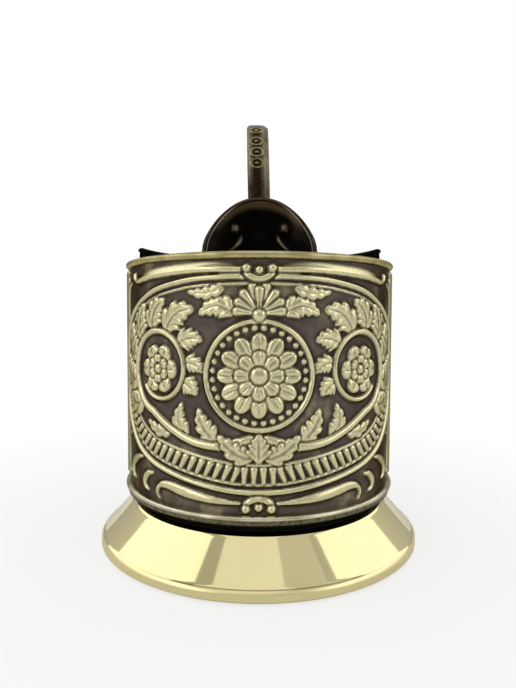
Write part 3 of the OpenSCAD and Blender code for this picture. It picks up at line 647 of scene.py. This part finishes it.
def handle_finish():
    f = Finish("cast handle brass")
    fine, broad = f.noise(0.55, 5.0, 0.6), f.noise(3.4, 5.0, 0.6)
    dark = f.blend(f.spread(fine, 0.4, 0.66), (0.011, 0.008, 0.005), (0.052, 0.036, 0.018))
    pale = f.blend(f.spread(fine, 0.3, 0.7), (0.22, 0.19, 0.12), (0.42, 0.39, 0.26))
    # the edge mark is the bevels' wear, with painted shade low down and on the left bevel
    edge = f.times(f.mark("edge"), f.spread(broad, 0.3, 0.55, 0.45, 1.0))
    return f.done(f.blend(edge, dark, pale), f.spread(fine, 0.3, 0.7, 0.30, 0.46), f.noise(0.7), 0.10, 0.7)


def border_finish():
    f = Finish("dark border brass", WARM_TINT)
    cloud = f.noise(4.0, 5.0, 0.6)
    dark = f.blend(f.spread(cloud, 0.36, 0.64), (0.016, 0.012, 0.009), (0.055, 0.043, 0.030))
    dark = f.blend(f.mark("brown"), dark, BROWN)
    # painted highlight: a pale line along the border's inner edge
    painted_highlight = f.times(f.mark("edge"), f.spread(f.noise(2.4), 0.3, 0.55, 0.55, 1.0))
    colour = f.blend(painted_highlight, dark, (0.66, 0.61, 0.50))
    return f.done(colour, f.spread(cloud, 0.3, 0.7, 0.22, 0.34), f.noise(0.4), 0.03, 0.6)


def foot_finish():
    f = Finish("polished foot brass")
    turned = f.noise(1.2, 3.0, 0.5, (1.0, 1.0, 14.0))
    brass = f.blend(f.spread(f.noise(14.0, 3.0), 0.3, 0.7), (0.83, 0.735, 0.385), (0.87, 0.775, 0.425))
    # painted shade: a fine dark line in the crease between the lip and the flare, clearest near the middle
    z = f.axis("Z")
    off_line = f.maths("ABSOLUTE", f.maths("SUBTRACT", z, 0.00295))
    near_middle = f.spread(f.maths("ABSOLUTE", f.axis("X")), 0.010, 0.028, 0.8, 0.1)
    line = f.times(near_middle, f.spread(off_line, 0.00003, 0.00012, 1.0, 0.0))
    # the flare is a mirror, the lip under it is satin
    satin = f.spread(z, 0.0026, 0.0029, 0.26, 0.0)
    rough = f.maths("ADD", satin, f.spread(turned, 0.3, 0.7, 0.045, 0.075))
    return f.done(f.blend(line, brass, (0.10, 0.08, 0.03)), rough, turned, 0.002, 0.25)


relief_brass, inner_black, border_brass = relief_finish(), inner_finish(), border_finish()
foot_brass, handle_brass, pan_brass = foot_finish(), handle_finish(), pan_finish()
# each with its two colours, the size of its clouds, its range of roughness and the depth of its grain
bead_brass, lower_bead_brass, rosette_brass, rivet_brass, screw_brass, saddle_brass, neck_black = (
    plain_brass(*values) for values in (
        ("half polished bead brass", (0.36, 0.31, 0.135), (0.58, 0.51, 0.26), 5.0, (0.20, 0.32), 0.02),
        # painted highlight: the lower bead is made paler than the rim bead
        ("worn lower bead brass", (0.50, 0.47, 0.35), (0.74, 0.70, 0.55), 5.0, (0.18, 0.3), 0.02),
        ("rubbed rosette brass", (0.18, 0.155, 0.070), (0.41, 0.36, 0.180), 1.2, (0.24, 0.38), 0.03),
        ("satin rivet brass", (0.24, 0.20, 0.11), (0.42, 0.37, 0.21), 1.5, (0.28, 0.42), 0.02),
        ("turned screw brass", (0.42, 0.37, 0.20), (0.58, 0.53, 0.30), 2.0, (0.26, 0.38), 0.01),
        ("cast saddle brass", (0.055, 0.042, 0.026), (0.20, 0.17, 0.10), 2.2, (0.30, 0.46), 0.06),
        ("black neck", (0.004, 0.004, 0.004), (0.012, 0.011, 0.010), 4.0, (0.55, 0.7), 0.02, 0.0),
    ))


def rear_outline(inset=0.0):
    """The rear edge from its middle out to the shoulder's end, as (s, z) with s from the front."""
    reach, fillet_z = CREST_R + FILLET_R, SHOULDER_Z + FILLET_R
    tilt = math.atan2(fillet_z - CREST_MID_Z, math.sqrt(reach ** 2 - (fillet_z - CREST_MID_Z) ** 2))
    fillet_x = reach * math.cos(tilt)
    r, f = CREST_R - inset, FILLET_R + inset
    a = np.linspace(math.pi / 2, tilt, int(r * 1.5 / 0.42))
    # the crest narrows a little faster than a circle does, and its middle is a little higher
    squeeze = 1 - 0.055 * np.sin(2 * a) ** 2 * ramp(a - tilt, 0.3)
    crest = np.stack([r * np.cos(a) * squeeze, CREST_MID_Z + r * np.sin(a) + 0.45 * np.sin(a) ** 10], -1)
    a = np.linspace(math.pi + tilt, 1.5 * math.pi, 12)
    fillet = np.stack([fillet_x + f * np.cos(a), fillet_z + f * np.sin(a)], -1)[1:]
    turn = np.linspace(math.asin(fillet_x / WALL_R), SHOULDER_TURN, 62)[1:]
    flat = np.stack([WALL_R * np.sin(turn), np.full(len(turn), SHOULDER_Z - inset)], -1)
    line = np.vstack([crest, fillet, flat])
    return np.stack([BACK_S - WALL_R * np.arcsin(np.clip(line[:, 0] / WALL_R, -1, 1)), line[:, 1]], -1)


def marks_of(plate, s, z):
    return [(label, plate.at(sheet, s, z))
            for label, sheet in (("rubbed", plate.rubbed), ("dark", plate.dark))]


FRONT_COLS, FRONT_ROWS, REAR_ROWS = 262, 252, 190
front_s, front_z = np.meshgrid(np.linspace(0.0, FRONT_S, FRONT_COLS), np.linspace(FLOOR_Z, RIM_Z, FRONT_ROWS))
front_fade = ramp(np.minimum(front_z - FLOOR_Z - 0.3, RIM_Z - 0.6 - front_z), 0.8)
front_h = front_plate.at(front_plate.h, front_s, front_z) * front_fade
plain = np.zeros((2, FRONT_COLS))
front_marks = [(label, sheet, plain) for label, sheet in marks_of(front_plate, front_s, front_z)]
front = (front_s, front_z, front_h, [0, -1], plain, front_marks)

outline = rear_outline()[::-1]
outline[0, 0], outline[-1, 0] = FRONT_S, BACK_S
edge_z = outline[None, :, 1]
rear_s = np.tile(outline[:, 0], (REAR_ROWS, 1))
rear_z = FLOOR_Z + (edge_z - FLOOR_Z) * np.linspace(0, 1, REAR_ROWS)[:, None]
rear_fade = ramp(edge_z - 1.6 - rear_z, 0.8) * ramp(rear_z - FLOOR_Z - 1.0, 0.8)
rear_h = back_plate.at(back_plate.h, rear_s, rear_z) * rear_fade
# the inner wall, with the soft bosses and folds that the pressing leaves on the crest
rear_x = WALL_R * np.sin((BACK_S - rear_s) / WALL_R)
boss = np.exp(-(((rear_x - 8.7) / 1.5) ** 2 + ((rear_z - 89.7) / 1.8) ** 2))
fold = np.abs(np.hypot(rear_x - 13.2, rear_z - 88.6) - 6.9)
fold = np.exp(-((fold / 0.7) ** 2)) * ramp(12.0 - rear_x, 4.0) * ramp(89.0 - rear_z, 4.0)
fold = fold * ramp(rear_x - 4.5, 2.0)
swell = (0.8 * boss + 0.6 * fold) * ramp(edge_z - 1.6 - rear_z, 1.2)
# painted glints: a lighter colour on the bosses and folds stands in for their highlights
painted_glint = np.clip(1.3 * np.maximum(0.7 * boss, fold) - 0.35, 0, 1)
# a brown band under the crest's edge
brown_band = ramp(np.hypot(rear_x, rear_z - CREST_MID_Z) - 15.2, 1.6) * ramp(rear_z - 88.5, 5)
plain = np.zeros_like(rear_z)
(_, rear_rubbed), (_, rear_painted_shade) = marks_of(back_plate, rear_s, rear_z)
rear_marks = [("rubbed", rear_rubbed * rear_fade, painted_glint), ("dark", rear_painted_shade * rear_fade, plain),
              ("brown", plain, brown_band)]
rear = (rear_s, rear_z, rear_h, slice(None), swell, rear_marks)


def wall_half(name, way, s, z, h, inner_rows, dent, marks):
    """Half of the wall's front or rear; way is 1 for the right one and -1 for its mirror image.

    Each mark has its values on the outer grid and on the inner one."""
    s, z = way * s[:, ::way], z[:, ::way]
    outer = wrap(s, z, WALL_R + h[:, ::way])
    inner = wrap(s[inner_rows], z[inner_rows], WELL_R - dent[:, ::way])
    verts, faces, slots = wall_block(outer, inner)
    marks = [(label, np.concatenate([sheet[:, ::way].ravel() for sheet in sheets]))
             for label, *sheets in marks]
    return make_piece(name, verts, faces, [relief_brass, inner_black], slots, marks)


for name, way, sheets, nodes in (
    ("sleeve_front_right", 1, front, ("sleeve", "cartouche_frame", "panel_ornament")),
    ("sleeve_front_left", -1, front, ("sleeve", "cartouche_frame", "panel_ornament")),
    ("sleeve_rear_right", 1, rear, ("sleeve", "rear_ornament")),
    ("sleeve_rear_left", -1, rear, ("sleeve", "rear_ornament")),
):
    fit(wall_half(name, way, *sheets), "aged_brass", *nodes)


def ring_bead(name, node, brass, r, z, half_w, half_h, turn, closed):
    """A bead round the wall, out to an angle on each side of the front."""
    a = np.linspace(-turn, turn, 220, endpoint=not closed)
    out = outward(a)
    up = np.tile([0.0, 0.0, 1.0], (len(a), 1))
    path = out * r + up * z
    verts, faces = sweep(path * MM, out * MM, up * MM, round_section(half_w, half_h), closed)
    fit(outwards(make_piece(name, verts, faces, [brass])), "bead_brass", node)


ring_bead("rim_bead", "front_rim_bead", bead_brass, 35.05, 73.25, 1.22, 0.86, math.pi - SHOULDER_TURN, False)
ring_bead("lower_bead_ring", "lower_bead", lower_bead_brass, 35.15, 15.62, 1.4, 0.66, math.pi, True)

BORDER_W, BORDER_H = 1.25, 0.74
line = rear_outline(0.62)
line[0, 0] = BACK_S
whole = np.vstack([line[::-1], np.stack([2 * BACK_S - line[1:, 0], line[1:, 1]], -1)])
path = wrap(whole[:, 0], whole[:, 1], WALL_R - 0.2)
out = outward(whole[:, 0] / WALL_R)
side = unit(np.cross(out, unit(np.gradient(path, axis=0))))
to_end = np.minimum(whole[:, 0] - whole[0, 0], whole[-1, 0] - whole[:, 0])
section = round_section(BORDER_W, BORDER_H, 2.6, 28)
verts, faces = sweep(path, out * MM, side * MM, section, False, 0.5 + 0.5 * ramp(to_end, 3.0) ** 0.6)
# painted highlight: the border's inner edge is painted pale, and near the crest's middle brown takes the place
# of that
turn = np.degrees(np.arctan2(section[:, 1] / BORDER_H, section[:, 0] / BORDER_W)) % 360
inner_edge = np.clip(1.6 - np.abs(turn - 214) / 18, 0, 1)
from_middle = np.abs(path[:, 0]) / MM
rubbed, brown = ramp(from_middle - 7.5, 4), 1 - ramp(from_middle - 7, 5)
marks = [("edge", (rubbed[:, None] * inner_edge).ravel()), ("brown", np.repeat(brown, len(section)))]
border = make_piece("rear_border", verts, faces, [border_brass], None, marks)
fit(outwards(border), "edge_brass", "rear_edge_bead")


def new_tree(name, *sizes):
    """An empty tree of Geometry Nodes with named inputs, the last of them the piece's brass.

    It comes with the inputs' identifiers and its input and output nodes."""
    tree = bpy.data.node_groups.new(name, "GeometryNodeTree")
    add = tree.interface.new_socket
    add("Geometry", in_out="INPUT", socket_type="NodeSocketGeometry")
    add("Geometry", in_out="OUTPUT", socket_type="NodeSocketGeometry")
    ids = {label: add(label, in_out="INPUT", socket_type="NodeSocket" + kind).identifier
           for label, kind in (*sizes, ("Brass", "Material"))}
    return tree, ids, tree.nodes.new("NodeGroupInput"), tree.nodes.new("NodeGroupOutput")


def clad(tree, geometry, start, end):
    """End a tree: make its geometry real and give it the brass."""
    real = put(tree, "GeometryNodeRealizeInstances", {"Geometry": geometry})
    brass = put(tree, "GeometryNodeSetMaterial", {
        "Geometry": real.outputs[0], "Material": start.outputs["Brass"]})
    tree.links.new(brass.outputs[0], end.inputs[0])


def set_on_points(tree, shape, stretch, start, end):
    """End a tree with its shape on each point, turned the way that the point faces."""
    facing = put(tree, "GeometryNodeInputNamedAttribute", {"Name": "facing"}, data_type="FLOAT_VECTOR")
    turn = put(tree, "FunctionNodeAlignRotationToVector", {"Vector": facing.outputs["Attribute"]}, axis="Z")
    each = put(tree, "GeometryNodeInstanceOnPoints", {
        "Points": start.outputs["Geometry"], "Instance": shape, "Rotation": turn.outputs[0],
        "Scale": start.outputs[stretch]})
    clad(tree, each.outputs[0], start, end)


def grow(name, tree, ids, values, points=(), facing=(), crease=None):
    """A piece that a tree makes from points that each face some way, kept as a plain mesh."""
    mesh = new_mesh(name, points)
    if len(facing):
        layer = mesh.attributes.new("facing", "FLOAT_VECTOR", "POINT")
        layer.data.foreach_set("vector", np.asarray(facing, np.float32).ravel())
    piece = in_scene(name, mesh)
    mod = piece.modifiers.new(tree.name, "NODES")
    mod.node_group = tree
    for label, value in values.items():
        mod[ids[label]] = value
    graph = bpy.context.evaluated_depsgraph_get()
    mesh = bpy.data.meshes.new_from_object(piece.evaluated_get(graph))
    piece.modifiers.clear()
    piece.data = mesh
    shade_smooth(mesh, crease)
    return piece


FOOT_R, FOOT_H, LIP_R, STAND_W = 43.0, 12.0, 1.4, 1.8
CREASE_Z, WEB_Z, WEB_TOP, THROAT_R, UNDER_R, BORE_R = 3.0, 7.0, 8.2, 32.45, 33.65, 2.1


def stretch_of(steps, *points):
    """A straight stretch between two points or a bent one by way of a third, without its last point."""
    if len(points) == 2:
        return np.linspace(*points, steps, endpoint=False)
    t = np.linspace(0, 1, steps, endpoint=False)[:, None]
    a, b, c = (np.array(v, float) for v in points)
    return (1 - t) ** 2 * a + 2 * t * (1 - t) * b + t * t * c


def foot_profile():
    """The foot's closed section as (radius, height), in 128 steps that start where it stands."""
    lip = FOOT_R - LIP_R
    # the lip is written fuller than the foot's radius, and the tree's curve node holds it at that radius
    fuller, lip_end = 1.18, 0.32
    a = np.append(np.linspace(-np.pi / 2, lip_end, 22, endpoint=False), lip_end)
    lip_curve = np.stack([lip + LIP_R * fuller * np.cos(a), LIP_R * (1 + np.sin(a))], -1)
    parts = [stretch_of(4, (lip - STAND_W, 0), (lip, 0)), lip_curve[:-1]]
    at = lip_curve[-1]
    # up the flare, over the top, down the throat, along the web and back under the flare
    for steps, *on in (
        (8, (42.98, 2.35), (42.52, 2.84)), (5, (42.3, 2.98), (42.05, 3.16)),
        (30, (38.3, 6.98), (35.25, 10.85)), (7, (34.6, 11.85), (33.5, FOOT_H)),
        (7, (32.6, FOOT_H), (THROAT_R, 11.4)), (6, (THROAT_R, WEB_TOP)),
        (8, (BORE_R, WEB_TOP)), (3, (BORE_R, WEB_Z)), (8, (UNDER_R, WEB_Z)), (4, (UNDER_R, 9.9)),
        (10, (37.2, 6.7), (40.9, CREASE_Z)), (3, (41.4, 2.2), (lip, LIP_R)), (3, (lip - STAND_W, LIP_R / 2)),
    ):
        parts.append(stretch_of(steps, at, *on))
        at = on[-1]
    loop = np.vstack(parts)
    return np.vstack([loop, loop[:1]])


def foot_tree(profile):
    """Turn a flat grid into the foot: its X goes round, its Y along the profile."""
    tree, ids, start, end = new_tree(
        "Turned foot", ("Foot radius", "Float"), ("Foot height", "Float"), ("Steps around", "Int"))
    grid = put(tree, "GeometryNodeMeshGrid", {
        "Size X": 1.0, "Size Y": 1.0,
        "Vertices X": start.outputs["Steps around"], "Vertices Y": len(profile)})
    spot = put(tree, "ShaderNodeSeparateXYZ", {0: put(tree, "GeometryNodeInputPosition").outputs[0]})
    turn = maths(tree, "MULTIPLY", spot.outputs["X"], 2 * math.pi)
    along = maths(tree, "ADD", spot.outputs["Y"], 0.5)
    ways = []
    for values, size in ((profile[:, 0] / FOOT_R, "Foot radius"), (profile[:, 1] / FOOT_H, "Foot height")):
        shape = put(tree, "ShaderNodeFloatCurve", {"Value": along})
        curve = shape.mapping.curves[0]
        steps = len(values) - 1
        curve.points[0].location = (0.0, values[0])
        curve.points[1].location = (1.0, values[-1])
        for i in range(1, steps):
            curve.points.new(i / steps, values[i])
        for point in curve.points:
            point.handle_type = "VECTOR"
        shape.mapping.update()
        ways.append(maths(tree, "MULTIPLY", shape.outputs[0], start.outputs[size]))
    r, z = ways
    x, y = (maths(tree, "MULTIPLY", maths(tree, kind, turn), r) for kind in ("COSINE", "SINE"))
    place = put(tree, "ShaderNodeCombineXYZ", {"X": x, "Y": y, "Z": z})
    moved = put(tree, "GeometryNodeSetPosition", {
        "Geometry": grid.outputs["Mesh"], "Position": place.outputs[0]})
    joined = put(tree, "GeometryNodeMergeByDistance", {"Geometry": moved.outputs[0], "Distance": 0.000002})
    clad(tree, joined.outputs[0], start, end)
    return tree, ids


foot = grow("polished_foot", *foot_tree(foot_profile()), {
    "Foot radius": FOOT_R * MM, "Foot height": FOOT_H * MM, "Steps around": 241, "Brass": foot_brass,
}, crease=38)
fit(outwards(foot), "foot_brass", "base_skirt")

# the handle's middle line: how far back it is, as a share of its reach, and how high up
LIMB = [(0, 0), (0, 0.2), (0.005, 0.4), (0.037, 0.61), (0.1, 0.8), (0.195, 0.94), (0.305, 1)]
GRIP = [(0.43, 0.985), (0.59, 0.93), (0.775, 0.83), (0.93, 0.712), (1, 0.585), (0.97, 0.465),
        (0.84, 0.36), (0.645, 0.285), (0.41, 0.23), (0.2, 0.192), (0.06, 0.155)]
HANDLE_TOP, LOW_Z, HIGH_Z, REACH = 127.8, 20.0, 85.2, 40.0


def back_by(share):
    return SADDLE_Y + STRIP_T / 2 + share * (REACH - STRIP_T / 2)


coarse = [(back_by(0), HIGH_Z), (back_by(0), HIGH_Z + 7.5)]
coarse += [(back_by(a), CREST_Z + b * (HANDLE_TOP - CREST_Z)) for a, b in LIMB]
coarse += [(back_by(a), LOW_Z + b * (HANDLE_TOP - LOW_Z)) for a, b in GRIP]
coarse += [(back_by(0), z) for z in (32.0, 26.0, LOW_Z)]
bow = smooth_path(coarse, 5)
bow_steps = np.arange(len(bow))


def bow_at(index):
    """The handle's middle line at places counted in its steps, and which way is towards the glass there."""
    at, ahead, back = (np.stack([np.interp(index + k, bow_steps, bow[:, j]) for j in (0, 1)], -1)
                       for k in (0, 0.6, -0.6))
    d = unit(ahead - back)
    return at, np.stack([0 * d[:, 0], -d[:, 1], d[:, 0]], -1)


def strip_section():
    """The strip's section: flat faces, a bevel on each long edge, all of it a little rounded."""
    w, t, b, left, right, rounding = STRIP_W / 2, STRIP_T / 2, 1.15, 0.8, 1.75, 0.28
    corners = np.array([(w, -t + b), (w, t - b), (w - right, t), (-w + left, t), (-w, t - left), (-w, -t + b),
                        (-w + b, -t), (w - b, -t)])
    out, worn = [], []
    for prev, c, after in zip(np.roll(corners, 1, 0), corners, np.roll(corners, -1, 0)):
        gap = np.hypot(*(after - c))
        a = c + (prev - c) / np.hypot(*(prev - c)) * rounding
        e = c + (after - c) / gap * rounding
        out += [a, 0.25 * a + 0.5 * c + 0.25 * e, e]
        worn += [0.55, 1.0, 0.55]
        for u in ((0.3, 0.5, 0.7) if gap > 2.0 else (0.5,)):
            out.append(e + (after - c) * (1 - 2 * rounding / gap) * u)
            worn.append(0.0 if gap > 3 else 0.5)
    return np.array(out), np.array(worn)


run = way_along(bow)
mid, towards_glass = bow_at(np.interp(np.linspace(0, run[-1], 420), run, bow_steps))
height = mid[:, 1]
path = np.column_stack([np.interp(height, (92, 126), (0.0, -0.95)), mid])
wide = np.tile([0.955, 0.0, 0.0], (len(path), 1))
section, worn = strip_section()
verts, faces = sweep(path * MM, wide * MM, towards_glass * MM, section)
ripple = np.sin(np.arange(len(path)) * 0.7)[:, None] * np.sin(np.arange(len(section)) * 1.7)[None] * 0.035
push = unit(verts - np.repeat(path, len(section), 0) * MM)
verts = verts - push * (np.abs(ripple).ravel() * MM)[:, None]
# painted shade: the bevels are darker low down, the left one most
left, right = (np.interp(height, (104, 113), (low, 1.0))[:, None] for low in (0.15, 0.65))
bevel_shade = np.where(section[None, :, 0] < -2.5, left, right)
handle = make_piece("handle", verts, faces, [handle_brass], None, [("edge", (bevel_shade * worn).ravel())], 60)
fit(outwards(handle), "cast_brass", "handle_bow")


def rosette_tree():
    """A ring with a bead in it, on each point."""
    tree, ids, start, end = new_tree("Oval rosettes", ("Ring radius", "Float"), ("Wire radius", "Float"),
                                     ("Stretch", "Vector"), ("Bead radius", "Float"))
    ring, wire = (put(tree, "GeometryNodeCurvePrimitiveCircle", {
        "Resolution": steps, "Radius": start.outputs[size]})
        for steps, size in ((40, "Ring radius"), (12, "Wire radius")))
    hoop = put(tree, "GeometryNodeCurveToMesh", {"Curve": ring.outputs[0], "Profile Curve": wire.outputs[0]})
    bead = put(tree, "GeometryNodeMeshUVSphere", {
        "Segments": 20, "Rings": 12, "Radius": start.outputs["Bead radius"]})
    one = put(tree, "GeometryNodeJoinGeometry")
    for shape in (hoop, bead):
        tree.links.new(shape.outputs[0], one.inputs[0])
    set_on_points(tree, one.outputs[0], "Stretch", start, end)
    return tree, ids


def rivet_tree():
    """A domed head on each point."""
    tree, ids, start, end = new_tree("Domed rivets", ("Head radius", "Float"), ("Dome", "Vector"))
    head = put(tree, "GeometryNodeMeshUVSphere", {
        "Segments": 36, "Rings": 20, "Radius": start.outputs["Head radius"]})
    set_on_points(tree, head.outputs[0], "Dome", start, end)
    return tree, ids


at, facing = bow_at(np.array([21.1, 24.3, 27.8, 32.4]))
lean = np.interp(at[:, 1], (92, 126), (-0.45, -1.4))
points = (np.column_stack([lean, at]) + facing * (STRIP_T / 2)) * MM
rosettes = grow("handle_rosettes", *rosette_tree(), {
    "Ring radius": 1.62 * MM, "Wire radius": 0.36 * MM, "Stretch": (1.36, 1.0, 1.0), "Bead radius": 0.54 * MM,
    "Brass": rosette_brass}, points, facing)
fit(rosettes, "cast_brass", "handle_bow")

tree, ids = rivet_tree()
for name, node, mid_z in (
    ("upper_rivet_heads", "upper_rivets", 89.7), ("lower_rivet_heads", "lower_rivets", 26.0),
):
    heads = np.array([(0, SADDLE_Y + STRIP_T, mid_z + up) for up in (-3, 3)]) * MM
    piece = grow(name, tree, ids, {
        "Head radius": 2.1 * MM, "Dome": (1.0, 1.0, 0.57), "Brass": rivet_brass}, heads, [(0, 1, 0)] * 2)
    fit(piece, "rivet_brass", node)

for node, material in (
    ("upper_saddle", saddle_brass), ("lower_saddle", saddle_brass), ("floor_pan", pan_brass),
    ("neck_ring", neck_black), ("clamp_screw", screw_brass), ("clamp_washer", screw_brass),
    ("clamp_nut", screw_brass),
):
    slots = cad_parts[node].material_slots
    if not slots:
        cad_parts[node].data.materials.append(material)
    for slot in slots:
        slot.material = material


def floor_disc():
    """A white floor that is lit near the holder and all white farther off."""
    a = np.linspace(0, 2 * np.pi, 96, endpoint=False)
    mesh = new_mesh("floor", [(6 * math.cos(t), 6 * math.sin(t), -0.0002) for t in a], [range(96)])
    mat = bpy.data.materials.new("white floor")
    tree = empty_tree(mat)
    lit = put(tree, "ShaderNodeBsdfDiffuse", {"Color": (0.86, 0.86, 0.86)})
    white = put(tree, "ShaderNodeEmission", {"Color": (1, 1, 1), "Strength": 1.0})
    rays = put(tree, "ShaderNodeLightPath").outputs
    seen = maths(tree, "MAXIMUM", rays["Is Camera Ray"], rays["Is Transmission Ray"])
    coords = put(tree, "ShaderNodeTexCoord").outputs["Object"]
    far = put(tree, "ShaderNodeVectorMath", {0: coords}, operation="LENGTH").outputs["Value"]
    share = maths(tree, "MULTIPLY", seen, spread(tree, far, 0.045, 0.16, 0.72, 1.0))
    mix = put(tree, "ShaderNodeMixShader", {0: share, 1: lit.outputs[0], 2: white.outputs[0]})
    put(tree, "ShaderNodeOutputMaterial", {"Surface": mix.outputs[0]})
    mesh.materials.append(mat)
    in_scene("floor", mesh)


def studio_world():
    """White to the camera; to the brass, a dim room, dimmer behind and brighter at its sides."""
    world = bpy.data.worlds.new("studio")
    bpy.context.scene.world = world
    tree = empty_tree(world)
    coords = put(tree, "ShaderNodeTexCoord").outputs["Generated"]
    part = put(tree, "ShaderNodeSeparateXYZ", {0: coords}).outputs
    behind = spread(tree, part["Y"], 0.2, 0.95, 0.46, 0.368)
    beside = spread(tree, maths(tree, "ABSOLUTE", part["X"]), 0.5, 0.85, 1.0, 1.4)
    room = maths(tree, "MULTIPLY", behind, beside)
    seen = put(tree, "ShaderNodeLightPath").outputs["Is Camera Ray"]
    level = put(tree, "ShaderNodeMix", {0: seen, 2: room, 3: 1.0}, data_type="FLOAT").outputs[0]
    back = put(tree, "ShaderNodeBackground", {"Color": (1, 1, 1), "Strength": level})
    put(tree, "ShaderNodeOutputWorld", {"Surface": back.outputs[0]})


def softbox(name, place, aim, wide, deep, radiance):
    lamp = bpy.data.lights.new(name, "AREA")
    lamp.shape = "RECTANGLE"
    lamp.size, lamp.size_y = wide, deep
    lamp.energy = math.pi * wide * deep * radiance
    box = in_scene(name, lamp)
    box.location = place
    box.rotation_euler = (Vector(aim) - Vector(place)).to_track_quat("-Z", "Y").to_euler()


floor_disc()
studio_world()
for name, x, y, wide, radiance in (
    ("ceiling_left", -0.95, 0.25, 1.10, 0.8), ("ceiling_middle", -0.06, 0.15, 0.44, 0.43),
    ("ceiling_dim", 0.30, 0.15, 0.28, 0.15), ("ceiling_right", 1.045, 0.25, 1.06, 0.73),
):
    softbox(name, (x, y, 0.6), (x, y, 0.0), wide, 1.9, radiance)
softbox("front_left", (-0.75, -0.75, 0.45), (0, 0, 0.06), 0.45, 0.8, 0.8)
softbox("front_right", (0.85, -0.65, 0.40), (0, 0, 0.06), 0.35, 0.8, 0.6)

camera = in_scene("camera", bpy.data.cameras.new("camera"))
camera.data.lens = 28.47
camera.data.sensor_width = 36.0
camera.data.sensor_fit = "AUTO"
camera.data.shift_x = -1.2 / 688
camera.data.clip_start = 0.005
camera.location = (0, -0.153, 0.0596)
tilt = Matrix.Rotation(math.radians(90 - 2.71), 3, "X") @ Matrix.Rotation(math.radians(0.24), 3, "Z")
camera.rotation_euler = tilt.to_euler()
bpy.context.scene.camera = camera
bpy.context.scene.view_settings.view_transform = "Standard"
